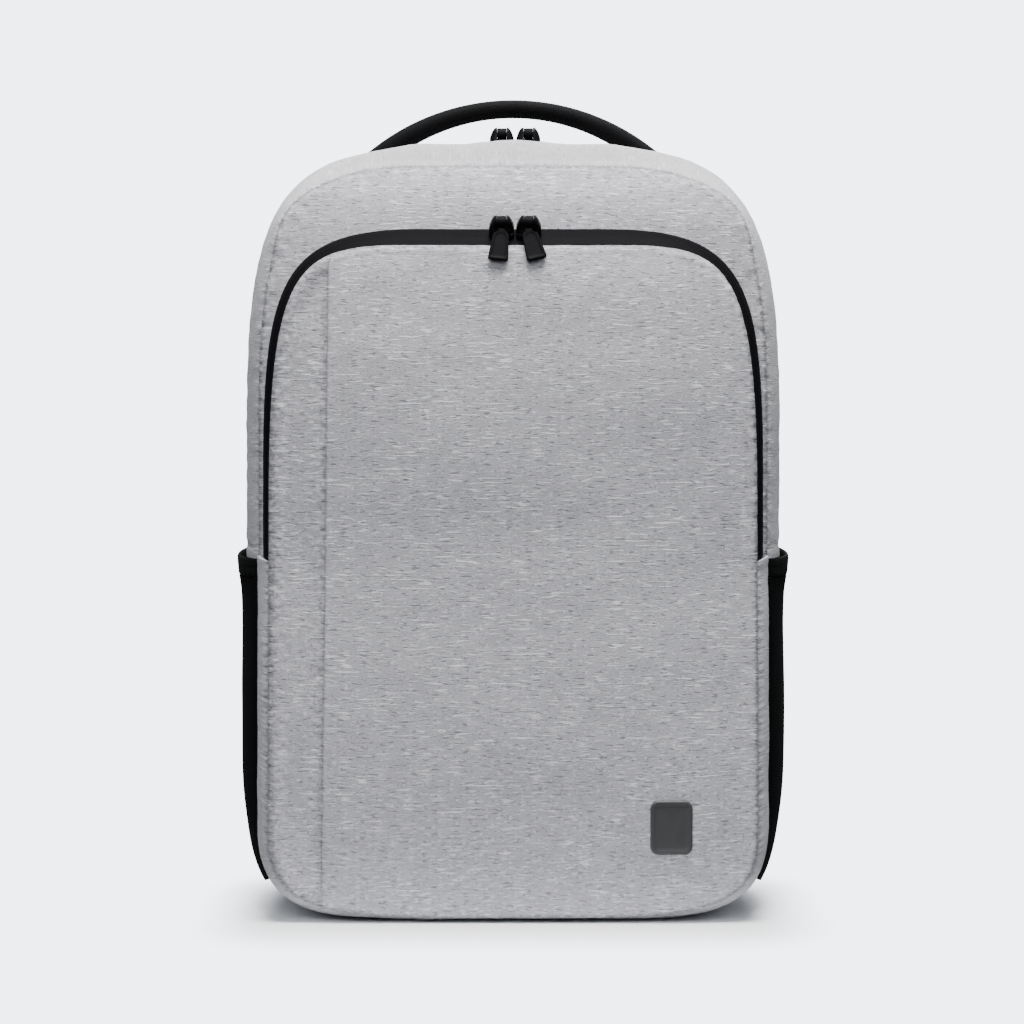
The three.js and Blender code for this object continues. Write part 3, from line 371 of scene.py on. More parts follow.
def skin(name, grid, spots, material, ends="cap"):
    """A closed mesh over a grid of points in millimetres: rows close on themselves, ends are filled."""
    rows, columns = grid.shape[:2]
    points, flat_spots = grid.reshape(-1, 3), spots.reshape(-1, 3)
    r, c = np.meshgrid(np.arange(rows - 1), np.arange(columns), indexing="ij")
    here, after = r * columns + c, r * columns + (c + 1) % columns
    quads = np.stack([here, after, after + columns, here + columns], -1).reshape(-1, 4)
    start = np.arange(columns)
    first, last = start[::-1], (rows - 1) * columns + start
    extra = [first.tolist(), last.tolist()] if ends == "cap" else []
    if ends == "loop":
        closing = np.stack([last, np.roll(last, -1), np.roll(start, -1), start], 1)
        quads = np.vstack([quads, closing])
    if ends == "pole":
        for centre, ring in enumerate((first, last), len(points)):
            extra += np.stack([ring, np.roll(ring, -1), np.full(columns, centre)], 1).tolist()
        points = np.vstack([points, grid[0].mean(0), grid[-1].mean(0)])
        flat_spots = np.vstack([flat_spots, spots[0].mean(0), spots[-1].mean(0)])
    tris = [quads[:, [0, 1, 2]], quads[:, [0, 2, 3]]]
    for face in extra:
        face = np.array(face)
        tris.append(np.stack([np.full(len(face) - 2, face[0]), face[1:-1], face[2:]], 1))
    a, b, d = (points[np.vstack(tris)[:, k]] for k in range(3))
    faces = quads.tolist() + extra
    if np.sum(a * np.cross(b, d)) < 0:
        faces = [face[::-1] for face in faces]
    mesh = bpy.data.meshes.new(name)
    mesh.from_pydata((points * MM).tolist(), [], faces)
    put_spots(mesh, flat_spots)
    mesh.shade_smooth()
    mesh.set_sharp_from_angle(angle=math.radians(50))
    mesh.materials.append(material)
    return put_in(name, mesh)


def band_skin(name, rows, spots, material):
    """A skin from rows that run along a band: the outer side, then the inner side."""
    return skin(name, np.array(rows).transpose(1, 0, 2), np.array(spots).transpose(1, 0, 2), material)


def settle(piece, slot, *nodes, body="pack"):
    """The piece rides on a body and stands for its solids; slot is not used."""
    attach(piece, body)
    if nodes:
        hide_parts(*nodes)
    return piece


def shader_of(name, roughness, specular=0.5):
    made = bpy.data.materials.new(name)
    made.use_nodes = True
    shader = made.node_tree.nodes["Principled BSDF"]
    shader.inputs["Roughness"].default_value = roughness
    shader.inputs["Specular IOR Level"].default_value = specular
    return made, made.node_tree, shader


def cloth_place_in(tree):
    return add_node(tree, "ShaderNodeAttribute", attribute_name="cloth_place").outputs["Vector"]


def times(tree, socket, factors):
    """A place scaled by a factor along each axis."""
    return add_node(tree, "ShaderNodeVectorMath", {0: socket, 1: factors}, operation="MULTIPLY").outputs[0]


def worked(tree, operation, *values):
    """One step of arithmetic on sockets or numbers."""
    return add_node(tree, "ShaderNodeMath", dict(enumerate(values)), operation=operation).outputs[0]


def lumps(tree, place, scale, detail):
    given = {"Vector": place, "Scale": scale, "Detail": detail}
    return add_node(tree, "ShaderNodeTexNoise", given).outputs[0]


def band_of(tree, place, factors, low, high, detail=1.0):
    """Noise stretched by the factors, cut to the part between two levels."""
    return ranged(tree, lumps(tree, times(tree, place, factors), 1, detail), low, high)


def grey(tone, blue=0.0):
    return (tone, tone, tone + blue, 1)


def raised(tree, shader, height, strength, distance, under=None):
    """Fine relief from a height, over other relief if there is any."""
    given = {"Height": height, "Strength": strength, "Distance": distance}
    if under:
        given["Normal"] = under
    relief = add_node(tree, "ShaderNodeBump", given).outputs[0]
    tree.links.new(relief, shader.inputs["Normal"])
    return relief


def heather_cloth(name, base, light, dark, streaks, mottle, puckers):
    """Woven heather cloth: pale and dark slubs along its length, a faint mottle and a fine weave."""
    made, tree, shader = shader_of(name, 0.92, 0.25)
    place = cloth_place_in(tree)
    patches = band_of(tree, place, (38, 90, 0), 0.36, 0.62)
    long_light = worked(tree, "MULTIPLY", band_of(tree, place, (110, 780, 0), 0.575, 0.665, 0.6), patches)
    short_light = band_of(tree, place, (300, 900, 0), 0.60, 0.69, 0.4)
    dashes = band_of(tree, place, (170, 850, 0), 0.385, 0.31, 0.8)
    specks = band_of(tree, place, (560, 900, 0), 0.31, 0.25, 0)
    cloudy = band_of(tree, place, (70, 120, 0), 0.28, 0.72, 2.5)
    threads = band_of(tree, place, (1100, 2600, 0), 0.2, 0.8, 0.5)
    tone = base
    for marks, share, colour in (
        (long_light, 0.9, light),
        (short_light, 0.5, light),
        (dashes, 0.65, dark),
        (specks, 0.6, dark),
    ):
        tone = mixed(tree, worked(tree, "MULTIPLY", marks, share * streaks), tone, colour)
    # Painted shade: next to its seams the cloth is darkened, in blotches (drawn), towards grey 0.6; pulled
    # is the blotched distance from the seam.
    from_seam = add_node(tree, "ShaderNodeSeparateXYZ", {"Vector": place}).outputs["Z"]
    drawn = band_of(tree, place, (420, 420, 0), 0.35, 0.75, 0.5)
    pulled = worked(tree, "MULTIPLY_ADD", drawn, -0.0014, from_seam)
    seam_shade_mask = ranged(tree, pulled, 0.0, 0.0019)
    for share, low, high in (
        (cloudy, grey(1 - mottle), grey(1)),
        (threads, grey(0.94), grey(1.04)),
        (seam_shade_mask, grey(0.6, 0.01), grey(1)),
    ):
        tone = mixed(tree, 1.0, tone, mixed(tree, share, low, high), "MULTIPLY")
    tree.links.new(tone, shader.inputs["Base Color"])
    slubs = worked(tree, "SUBTRACT", worked(tree, "ADD", long_light, threads), dashes)
    relief = raised(tree, shader, slubs, 0.5, 0.00025)
    beside_seam = ranged(tree, from_seam, 0.0, 0.006, 1.0, 0.0)
    gathers = worked(tree, "MULTIPLY", band_of(tree, place, puckers, 0.3, 0.7, 0.5), beside_seam)
    raised(tree, shader, gathers, 0.6, 0.001, relief)
    shader.inputs["Sheen Weight"].default_value = 0.12
    shader.inputs["Sheen Roughness"].default_value = 0.5
    return made


gusset_cloth = heather_cloth(
    "smooth_heather_cloth",
    (0.46, 0.456, 0.476, 1),
    grey(0.66, 0.02),
    (0.27, 0.265, 0.29, 1),
    streaks=0.6,
    mottle=0.09,
    puckers=(60, 330, 0),
)


def gusset_band(name, low, high, columns, extra, split, step=2.0, roll=2.0):
    """A band of the gusset between two shares of its depth, over some columns of the outline."""
    stands = split > SIDE_POCKET_HEIGHT
    rows = max(4, int(round((high - low) * GUSSET_DEPTH / step)))
    depths = np.linspace(0, 1, rows + 1)
    depths = np.sort(np.concatenate([depths, [0.4 / rows, 1 - 0.4 / rows]]))
    base = outline(BODY_SHAPE, split)
    run = run_of(base, columns)
    from_end = np.full(len(run), 99.0) if stands else np.minimum(run - run.min(), run.max() - run)
    turned = hump(from_end, HEM_FOLD, 2.4) - 0.9 * hump(from_end, HEM_STITCH, 2.2)
    lines, spots = [], []
    for depth in depths:
        share = low + (high - low) * depth
        at_rest = gusset_points(share, extra(base[:, 1]), split)
        normal = loop_normals(at_rest[:, ::2])[columns]
        spot = at_rest[columns]
        edge = min(depth, 1 - depth) * (high - low) * GUSSET_DEPTH
        pucker = noise_at(spot, GUSSET_PUCKER_SIZE, 3) * GUSSET_PUCKER
        pucker = pucker * math.exp(-edge / GUSSET_PUCKER_REACH)
        broad = noise_at(spot, GUSSET_FOLD_SIZE, 8) * GUSSET_FOLD * smooth(edge, 0, 14)
        lift = pucker + broad + turned * 0.35 - seam_roll(edge, roll, GUSSET_SEAM)
        spot[:, ::2] += normal * lift[:, None]
        spot[:, 2] = np.maximum(spot[:, 2], 0.0 if stands else -9)
        lines.append(spot)
        # The third value sets painted shade: darker near the band's seams and along the hem's stitch line.
        shade = np.minimum(edge, 0.5 + np.abs(from_end - 7.6) * 1.2)
        spots.append(points_at(share * GUSSET_DEPTH, run, shade))
    for share in np.linspace(high, low, 7):
        lines.append(gusset_points(share, extra(base[:, 1]) + FINE_CLOTH + 0.8, split)[columns])
        spots.append(points_at(share * GUSSET_DEPTH, run, NO_SEAM))
    return band_skin(name, lines, spots, gusset_cloth)


def step_in(z):
    """How far the gusset steps in above the base, to make room for the side pockets."""
    return (CLOTH + GAP) * smooth(z, 0.02 * BODY_HEIGHT, 0.13 * BODY_HEIGHT)


def lower_extra(z):
    up = z / SIDE_POCKET_HEIGHT
    dip = POCKET_DIP * smooth(up, 0.1, 0.35) * (1 - smooth(up, 0.85, 1 + LAP / SIDE_POCKET_HEIGHT))
    return step_in(z) + dip


upper_columns = np.arange(SPLIT_COLUMN, ALL_COLUMNS - SPLIT_COLUMN + 1)
lower_columns = np.arange(ALL_COLUMNS - SPLIT_COLUMN, ALL_COLUMNS + SPLIT_COLUMN + 1) % ALL_COLUMNS
lower_gusset = gusset_band("lower_gusset_cloth", 0, 1, lower_columns, lower_extra, SIDE_POCKET_HEIGHT + LAP)
settle(lower_gusset, "gusset_cloth", "lower_gusset")

# Main front panel
# The grey panel behind the front pocket, cut from the coarser heather cloth with its slubs running across.
# It is sewn to the gusset all round, with the seam turned in, so the cloth rolls over and puckers there.

PANEL_CLOTH = CLOTH - 0.6
PLATE_RINGS = (0, 0.5, 1.1, 1.9, 3, 4.4, 6.2, 8.5, 11.5, 15, 19, 23.5, 28.5, 34)
INNER_RINGS = 34
INNERMOST = 0.97
PLATE_FOLDS = (((52, 50, 44), 0.9), ((120, 90, 26), 0.45))  # the size of each fold and its strength
PLATE_PUCKER_SIZE = (6, 9, 6)
PLATE_PUCKER_REACH = 7
PLATE_SEAM = 3.4
CUT_EDGE = (0.7, 1.2)  # how deep and how wide an edge without a seam is rounded
heather = heather_cloth(
    "coarse_heather_cloth",
    (0.412, 0.407, 0.434, 1),
    grey(0.70, 0.02),
    (0.18, 0.177, 0.20, 1),
    streaks=1.15,
    mottle=0.16,
    puckers=(240, 240, 0),
)


def edge_distance(points, loop):
    """Distance from each point to the nearest side of a closed outline."""
    side = np.roll(loop, -1, 0) - loop
    length = np.maximum((side**2).sum(1), 1e-9)
    near = []
    for start in range(0, len(points), 2000):
        part = points[start : start + 2000, None, :] - loop
        t = np.clip((part * side).sum(-1) / length, 0, 1)
        near.append(np.sqrt(((part - t[..., None] * side) ** 2).sum(-1)).min(1))
    return np.concatenate(near)


def plate(
    name, loop, front, thickness, material,
    roll=0, pucker=0, seed=0, facing=-1, broad_fold=0, sewn=None, shaded=False,
):
    """A cloth plate inside an outline: front(x, z, distance) is its outer side's depth, facing -1 or 1.

    Where only a part of its edge is sewn, sewn is the outline that has the seam, and the rest is folded, or
    shaded where another piece lies over it.
    """
    middle = loop.mean(0)
    radius = np.linalg.norm(loop - middle, axis=1)
    inward = [np.minimum(d / radius, 0.5)[:, None] for d in PLATE_RINGS]
    inward += [inward[-1] + (INNERMOST - inward[-1]) * t for t in np.linspace(0, 1, INNER_RINGS)[1:]]
    rings = np.array([loop + (middle - loop) * share for share in inward])
    flat = rings.reshape(-1, 2)
    distance = edge_distance(flat, loop)
    x, z = flat.T
    from_seam = distance if sewn is None else edge_distance(flat, sewn)
    spot = points_at(x, 0, z)
    fold = sum(noise_at(spot, size, seed + 4 + k) * much for k, (size, much) in enumerate(PLATE_FOLDS))
    stand = noise_at(spot, PLATE_PUCKER_SIZE, seed) * pucker * np.exp(-from_seam / PLATE_PUCKER_REACH)
    stand += fold * broad_fold * smooth(distance, 1, 20) - seam_roll(from_seam, roll, PLATE_SEAM)
    if sewn is not None:
        stand -= seam_roll(distance, *CUT_EDGE)
    outer = points_at(x, front(x, z, distance) + facing * stand, z).reshape(*rings.shape[:2], 3)
    # The third value sets painted shade near the seam and, on a shaded piece, beside its cut edge where the
    # fold lies over it.
    shade = np.minimum(from_seam, 0.6 + distance * 0.27) if shaded else from_seam
    spots = points_at(x, z, shade).reshape(outer.shape)
    picks = [0, 4, 9, len(PLATE_RINGS) + 4, len(PLATE_RINGS) + 16, len(rings) - 1]
    grid = np.concatenate([outer[::-1], outer[picks] - np.array([0, facing, 0]) * thickness])
    return skin(name, grid, np.concatenate([spots[::-1], spots[picks]]), material, ends="pole")


panel_loop = gusset_loop(1)
panel_loop = panel_loop - loop_normals(panel_loop) * 0.2
main_panel = plate(
    "main_front_cloth", panel_loop, panel_front, PANEL_CLOTH, heather,
    roll=2.3, pucker=1.1, seed=21, broad_fold=1,
)
settle(main_panel, "heather_cloth", "main_front_panel")

# Upper gusset
# Two strips of the smooth cloth that run from one side pocket over the top to the other, with the main zip
# between them. Each is folded under along the zip and sewn into the front or the back seam.

MAIN_ZIP_DEPTH = 18.0
MAIN_ZIP_BACK = 43.0
HALF_GAP = GAP / 2 / GUSSET_DEPTH
zip_front = (INSIDE_BACK - (BACK_FACE - MAIN_ZIP_BACK - MAIN_ZIP_DEPTH)) / GUSSET_DEPTH
zip_rear = (INSIDE_BACK - (BACK_FACE - MAIN_ZIP_BACK)) / GUSSET_DEPTH
for name, node, low, high in (
    ("rear_strip_cloth", "upper_gusset_rear", 0, zip_rear - HALF_GAP),
    ("front_strip_cloth", "upper_gusset_front", zip_front + HALF_GAP, 1),
):
    strip = gusset_band(name, low, high, upper_columns, lambda z: z * 0, SIDE_POCKET_HEIGHT, 1.7, 1.8)
    settle(strip, "gusset_cloth", node)

# Main zip
# A coated black tape with its coil underneath, so only two smooth tape halves show, meeting in a fine line
# with small ribs where the coil presses through. It is sewn in under the folded edges of both strips.

TAPE = 1.2
TAPE_ROWS = 24
RIB_STEP = 1.5
RIB_OFF = 1.75
RIB_SINK = 0.05
RIB_SIZE = (2.6, 0.8, 0.32)  # length, width and height
zip_tape, tape_tree, tape_shader = shader_of("coated_zip_tape", 0.55, 0.02)
tape_threads = band_of(tape_tree, cloth_place_in(tape_tree), (300, 1900, 500), 0.25, 0.75)
tape_tone = mixed(tape_tree, tape_threads, (0.003, 0.0029, 0.0036, 1), (0.0048, 0.0046, 0.0057, 1))
tape_tree.links.new(tape_tone, tape_shader.inputs["Base Color"])
raised(tape_tree, tape_shader, tape_threads, 0.35, 0.0001)


def tape_profile(depth):
    """How far the tape's outer side stands, from one edge (0) to the other (1). Its middle has a line."""
    off = np.abs(depth - 0.5)
    return 0.25 * smooth(off, 0.0, 0.03) + 0.3 * (1 - smooth(off, 0.16, 0.26)) - 0.35


outer, inner, outer_spots = [], [], []
body_run = run_of(outline(BODY_SHAPE, SIDE_POCKET_HEIGHT), upper_columns)
for k, share in enumerate(np.linspace(zip_rear + HALF_GAP, zip_front - HALF_GAP, TAPE_ROWS + 1)):
    depth = k / TAPE_ROWS
    outer.append(gusset_points(share, (CLOTH - TAPE) / 2 - tape_profile(depth))[upper_columns])
    inner.append(gusset_points(share, PANEL_CLOTH)[upper_columns])
    outer_spots.append(points_at(body_run, depth * MAIN_ZIP_DEPTH, NO_SEAM))
main_tape = band_skin("main_zip_tape_cloth", outer + inner[::-4], outer_spots + outer_spots[::-4], zip_tape)
settle(main_tape, "zip_tape", "main_zip_tape")


def bead_tree():
    """Geometry nodes for a row of small beads of thread or coil, one at each point of a mesh."""
    tree = bpy.data.node_groups.new("row_of_beads", "GeometryNodeTree")
    face = tree.interface
    face.new_socket("Geometry", in_out="OUTPUT", socket_type="NodeSocketGeometry")
    for label, kind, start in (
        ("Geometry", "Geometry", None),
        ("Length", "Float", 0.001),
        ("Width", "Float", 0.001),
        ("Height", "Float", 0.001),
        ("Unevenness", "Float", 0.1),
        ("Seed", "Int", 7),
        ("Material", "Material", None),
    ):
        socket = face.new_socket(label, in_out="INPUT", socket_type="NodeSocket" + kind)
        if start is not None:
            socket.default_value = start
    given = add_node(tree, "NodeGroupInput").outputs
    bead = add_node(tree, "GeometryNodeMeshUVSphere", {"Segments": 6, "Rings": 4, "Radius": 0.5})
    turned = None
    for label, axis, pivot in (("along", "X", "AUTO"), ("out", "Z", "X")):
        way = add_node(tree, "GeometryNodeInputNamedAttribute", {"Name": label}, data_type="FLOAT_VECTOR")
        lined_up = {"Vector": way.outputs["Attribute"]}
        if turned:
            lined_up["Rotation"] = turned
        kind = "FunctionNodeAlignRotationToVector"
        turned = add_node(tree, kind, lined_up, axis=axis, pivot_axis=pivot).outputs[0]
    low = worked(tree, "SUBTRACT", 1.0, given["Unevenness"])
    high = worked(tree, "ADD", 1.0, given["Unevenness"])
    chance = {2: low, 3: high, "Seed": given["Seed"]}
    share = add_node(tree, "FunctionNodeRandomValue", chance, data_type="FLOAT").outputs[1]
    length = worked(tree, "MULTIPLY", given["Length"], share)
    size = add_node(tree, "ShaderNodeCombineXYZ", {0: length, 1: given["Width"], 2: given["Height"]})
    row = {
        "Points": given["Geometry"],
        "Instance": bead.outputs["Mesh"],
        "Rotation": turned,
        "Scale": size.outputs[0],
    }
    beads = add_node(tree, "GeometryNodeInstanceOnPoints", row).outputs[0]
    real = add_node(tree, "GeometryNodeRealizeInstances", {0: beads}).outputs[0]
    soft = add_node(tree, "GeometryNodeSetShadeSmooth", {0: real}).outputs[0]
    done = add_node(tree, "GeometryNodeSetMaterial", {"Geometry": soft, "Material": given["Material"]})
    add_node(tree, "NodeGroupOutput", {0: done.outputs[0]})
    return tree


row_of_beads = bead_tree()


def work_in(piece):
    """Works a piece's modifiers into its mesh and takes them off."""
    shown = piece.evaluated_get(bpy.context.evaluated_depsgraph_get())
    mesh = bpy.data.meshes.new_from_object(shown)
    piece.modifiers.clear()
    old, piece.data = piece.data, mesh
    bpy.data.meshes.remove(old)
    mesh.name = piece.name
    return mesh


def bead_row(name, points, along, out, size, material, slot, uneven=0.1, seed=7):
    """A row of beads at points in millimetres, each along one direction and standing out along another."""
    seeds = bpy.data.meshes.new(name + "_points")
    seeds.from_pydata((np.asarray(points) * MM).tolist(), [], [])
    for label, values in (("along", along), ("out", out)):
        layer = seeds.attributes.new(label, "FLOAT_VECTOR", "POINT")
        layer.data.foreach_set("vector", np.asarray(values, np.float32).ravel())
    holder = put_in(name, seeds)
    rule = holder.modifiers.new("row", "NODES")
    rule.node_group = row_of_beads
    given = {"Unevenness": uneven, "Seed": seed, "Material": material}
    given.update(zip(("Length", "Width", "Height"), (v * MM for v in size)))
    for item in row_of_beads.interface.items_tree:
        if item.in_out == "INPUT" and item.name in given:
            rule[item.identifier] = given[item.name]
    work_in(holder)
    return settle(holder, slot)


def columns_at(at, length, values):
    return np.stack([np.interp(at, length, values[:, k]) for k in range(3)], 1)


def spaced(line, step):
    """Places along a line of points, a step apart, and the line's direction at each."""
    length = length_along(line)
    at = np.linspace(0, length[-1], max(2, int(round(length[-1] / step))) + 1)[:-1] + step / 2
    at = at[at < length[-1]]
    way = columns_at(at + 0.5, length, line) - columns_at(at - 0.5, length, line)
    return columns_at(at, length, line), unit(way), at


def rib_rows(name, place, side, out, off, sink, size, seed):
    """Two rows of ribs, one on each half of a tape."""
    points = np.vstack([place + side * off * half - out * sink for half in (-1, 1)])
    along, out = np.vstack([side, side]), np.vstack([out, out])
    bead_row(name, points, along, out, size, zip_tape, "zip_tape", seed=seed)


middle = TAPE_ROWS // 2
rib_place, rib_way, rib_at = spaced((outer[middle - 1] + outer[middle + 1]) / 2, RIB_STEP)
depthward = np.tile([0.0, 1.0, 0.0], (len(rib_place), 1))
rib_out = np.cross(rib_way, depthward)
rib_rows("main_zip_ribs", rib_place, depthward, rib_out, RIB_OFF, RIB_SINK, RIB_SIZE, 7)

# Back panel
# The plain black cloth panel that lies on the wearer's back, sewn to the gusset's rear edge all round and
# finished there with a narrow rolled binding.

BINDING_SIZE = (4.6, 3.4)
BINDING_STAND = 1.2
BINDING_LOWEST = 1.9


def black_cloth(name, base, thread, pitch, roughness, bump_height, sheen=0.0, shine=0.12):
    """Black woven cloth, its threads crossing at a given pitch in millimetres."""
    made, tree, shader = shader_of(name, roughness, shine)
    place = cloth_place_in(tree)
    per_metre = 1000 / pitch
    waves = []
    for factors in ((per_metre, 0, 0), (0, per_metre, 0)):
        given = {"Vector": times(tree, place, factors), "Scale": 0.5, "Distortion": 0.6, "Detail": 1.0}
        waves.append(add_node(tree, "ShaderNodeTexWave", given, bands_direction="DIAGONAL").outputs["Fac"])
    weave = worked(tree, "MULTIPLY", *waves)
    share = worked(tree, "ADD", weave, band_of(tree, place, (70, 90, 80), 0.25, 0.75, 1.5))
    share = worked(tree, "MULTIPLY", share, 0.5)
    tree.links.new(mixed(tree, share, base, thread), shader.inputs["Base Color"])
    raised(tree, shader, weave, 0.6, bump_height * MM)
    shader.inputs["Sheen Weight"].default_value = sheen
    shader.inputs["Sheen Roughness"].default_value = 0.45
    return made


back_cloth = black_cloth(
    "plain_black_cloth", grey(0.009, 0.0015), grey(0.024, 0.003), 0.9, 0.85, 0.25, sheen=0.05
)
back_loop = gusset_loop(0)
back_panel = plate(
    "back_panel_cloth",
    back_loop,
    lambda x, z, distance: x * 0 + BACK_FACE,
    PANEL_CLOTH,
    back_cloth,
    roll=0.7,
    pucker=0.3,
    seed=31,
    facing=1,
    broad_fold=0.4,
)
settle(back_panel, "back_cloth", "back_panel")


def soft_power(value, power):
    return np.sign(value) * np.abs(value) ** power


def turns(count):
    """Angles evenly round a circle."""
    return np.arange(count) / count * 2 * math.pi


def tube(name, line, closed, width, height, material, outward, count=10, squareness=1.0):
    """A soft oval bead along a line: width across the line in its plane, height along outward."""
    way = np.roll(line, -1, 0) - np.roll(line, 1, 0)
    if not closed:
        way[0], way[-1] = line[1] - line[0], line[-1] - line[-2]
    out = np.broadcast_to(np.asarray(outward, float), line.shape)
    side = unit(np.cross(unit(way), out))
    angle = turns(count)
    across = soft_power(np.cos(angle), squareness)[:, None] * width / 2
    up = soft_power(np.sin(angle), squareness)[:, None] * height / 2
    ring = line[:, None] + side[:, None] * across + out[:, None] * up
    run = length_along(ring[:, 0])[:, None]
    spots = points_at(run, angle * width / 2, 5.0)
    return skin(name, ring, spots, material, ends="loop" if closed else "cap")


binding_cloth = black_cloth("ribbed_binding", grey(0.010, 0.0015), grey(0.028, 0.003), 0.7, 0.7, 0.2)
binding_x, binding_z = (back_loop + loop_normals(back_loop) * 0.4).T
binding_line = points_at(binding_x, INSIDE_BACK + BINDING_STAND, np.maximum(binding_z, BINDING_LOWEST))
binding_line = np.roll(binding_line, 20 - SPLIT_COLUMN, 0)
binding = tube("back_binding", binding_line, True, *BINDING_SIZE, binding_cloth, (0, 1, 0))
settle(binding, "back_cloth")

# Front pocket gusset
# The lower part of the pocket's side, a narrow grey band sewn to the main front panel behind and to the
# pocket's face in front. Its two upper ends are folded over where the zip begins.

POCKET_DEPTH = 36.0
ZIP_STAND = 17.3
FACE_CROWN = 9.0
ZIP_SHAPE = {
    "half": 144.4,
    "bottom": 0.0,
    "top": BODY_HEIGHT - 53.5,
    "top_corner": (89, 145, 0.91, 0.77),
    "base_corner": (70, 54, 0.52, 0.92),
}
POCKET_SHAPE = {**ZIP_SHAPE, "half": 147.5}
FACE_SHAPE = {
    "half": 140.0,
    "bottom": 2.2,
    "top": BODY_HEIGHT - 63.4,
    "top_corner": (75.6, 148.4, 0.8, 0.91),
    "base_corner": (110, 48, 0.75, 0.85),
}
ZIP_END_SLANT = 3.0
ZIP_END = SIDE_POCKET_HEIGHT + 2.3
BAND_DEPTH = 22.0
fullness_at = curve_through((0, 0.13, 0.3, 0.46, 0.66, 0.87), (1, 0.98, 0.62, 0.22, 0.1, 0))


def face_front(x, z, distance=0.0):
    stand = ZIP_STAND + (POCKET_DEPTH - ZIP_STAND) * fullness_at(z / BODY_HEIGHT)
    return panel_edge(z) - stand - FACE_CROWN * (1 - reach(x, z, FACE_SHAPE) ** 3)


def pocket_row(shape, split, depth, inset=0.0, slant=ZIP_END_SLANT):
    """Points round the pocket's side at a share of its depth, and the outward direction at each."""
    rear, face = outline(shape, split), outline(FACE_SHAPE, split)
    fuller = 1.6 + 1.6 * smooth(ZIP_END - rear[:, 1], 0, 60)[:, None]
    loop = rear + (face - rear) * depth**fuller
    normal = loop_normals(loop)
    x, z = (loop - normal * inset).T
    rear_y = panel_front(x, z) - GAP
    y = rear_y + depth * (face_front(x, z) + CLOTH + GAP - rear_y)
    z = z - slant * depth * smooth(BAND_DEPTH - np.abs(z - split), 0, BAND_DEPTH)
    return points_at(x, y, z), normal


def pocket_band(name, shape, split, columns, thickness, material, rows, lift_at):
    """A band from the main front panel to the pocket's face. lift_at(depth, spot) lifts its outer side."""
    run = run_of(outline(shape, split), columns)
    lines, spots = [], []
    for depth in np.linspace(0, 1, rows + 1):
        spot, normal = (part[columns] for part in pocket_row(shape, split, depth))
        spot[:, ::2] += normal * lift_at(depth, spot)[:, None]
        spot[:, 2] = np.maximum(spot[:, 2], 0.15)
        lines.append(spot)
        spots.append(points_at(depth * BAND_DEPTH, run, min(depth, 1 - depth) * 20))
    for depth in (1, 0.66, 0.33, 0):
        lines.append(pocket_row(shape, split, depth, thickness)[0][columns])
        spots.append(points_at(depth * BAND_DEPTH, run, NO_SEAM))
    return band_skin(name, lines, spots, material)


def pocket_side_lift(depth, spot):
    edge = min(depth, 1 - depth) * 26
    pucker = noise_at(spot, (6, 18, 6), 41) * 0.7 * math.exp(-edge / 5)
    turned = hump(spot[:, 2], ZIP_END - 1.6 - ZIP_END_SLANT * depth, 1.6) * 0.7
    return pucker + turned + noise_at(spot, (34, 30, 30), 43) * 0.5 - seam_roll(edge, 1.9, 3.6)


side_end = ZIP_END - GAP / 2
pocket_side = pocket_band(
    "pocket_gusset_cloth", POCKET_SHAPE, side_end,
    lower_columns, FINE_CLOTH, gusset_cloth, 18, pocket_side_lift,
)
settle(pocket_side, "gusset_cloth", "pocket_gusset")

# Front pocket zip
# The same coated tape as the main zip, from one side over the top to the other. It shows about ten
# millimetres wide at the top and half of that down the sides, where it turns away.

POCKET_RIB_OFF = 1.7
POCKET_RIB_SINK = 0.02
POCKET_RIB_SIZE = (2.5, 0.8, 0.3)
TAPE_WAVE = 0.12
TAPE_WAVE_SIZE = (30, 30, 30)
TAPE_ENDS_CUT = 6  # columns


def tape_lift(depth, spot):
    return tape_profile(depth) + noise_at(spot, TAPE_WAVE_SIZE, 47) * TAPE_WAVE


def tape_row(depth):
    return pocket_row(ZIP_SHAPE, tape_end, depth, slant=0)[0][upper_columns[TAPE_ENDS_CUT:-TAPE_ENDS_CUT]]


tape_end = ZIP_END + GAP / 2
front_tape = pocket_band(
    "pocket_zip_tape_cloth", ZIP_SHAPE, tape_end, upper_columns, TAPE - 0.3, zip_tape, 26, tape_lift
)
settle(front_tape, "zip_tape", "pocket_zip_tape")
rib_place, rib_way, rib_at = spaced(tape_row(0.5), RIB_STEP)
rib_side = unit(columns_at(rib_at, length_along(tape_row(0.5)), tape_row(0.6) - tape_row(0.4)))
rib_out = np.cross(rib_side, rib_way)
rib_fit = (POCKET_RIB_OFF, POCKET_RIB_SINK, POCKET_RIB_SIZE)
rib_rows("pocket_zip_ribs", rib_place, rib_side, rib_out, *rib_fit, 11)

# Pocket face
# The wide face of the pocket and the narrow strip at its left. The face's left edge is folded under and
# lies over the strip, which sinks a little behind the fold, so one upright edge catches the light.

SEAM_OFFSET = 107.0
FOLD_STEP = 2.0
FOLD_WIDTH = 12.0
UNDER_FOLD = 2.5
SEAM_LEAN = np.array([[1.0, 0.0], [0.0085, 1.0]])
SEAM_POINTS = 190


def clip_loop(loop, x, side):
    """The part of a closed outline on one side (1 right, -1 left) of an upright line."""
    inside = (loop[:, 0] - x) * side >= 0
    begin = np.nonzero(inside & ~np.roll(inside, 1))[0][0]
    loop, inside = np.roll(loop, -begin, 0), np.roll(inside, -begin)
    kept = loop[inside]

    def cut(a, b):
        return a + (b - a) * (x - a[0]) / (b[0] - a[0])

    ends = cut(kept[-1], loop[len(kept)]), cut(kept[0], loop[-1])
    return np.vstack([kept, np.linspace(*ends, SEAM_POINTS)])


face_loop = outline(FACE_SHAPE, SIDE_POCKET_HEIGHT)
upright_face = (face_loop - (0, BODY_HEIGHT / 2)) @ np.linalg.inv(SEAM_LEAN)


def part_of_face(x, side):
    return clip_loop(upright_face, x, side) @ SEAM_LEAN + (0, BODY_HEIGHT / 2)


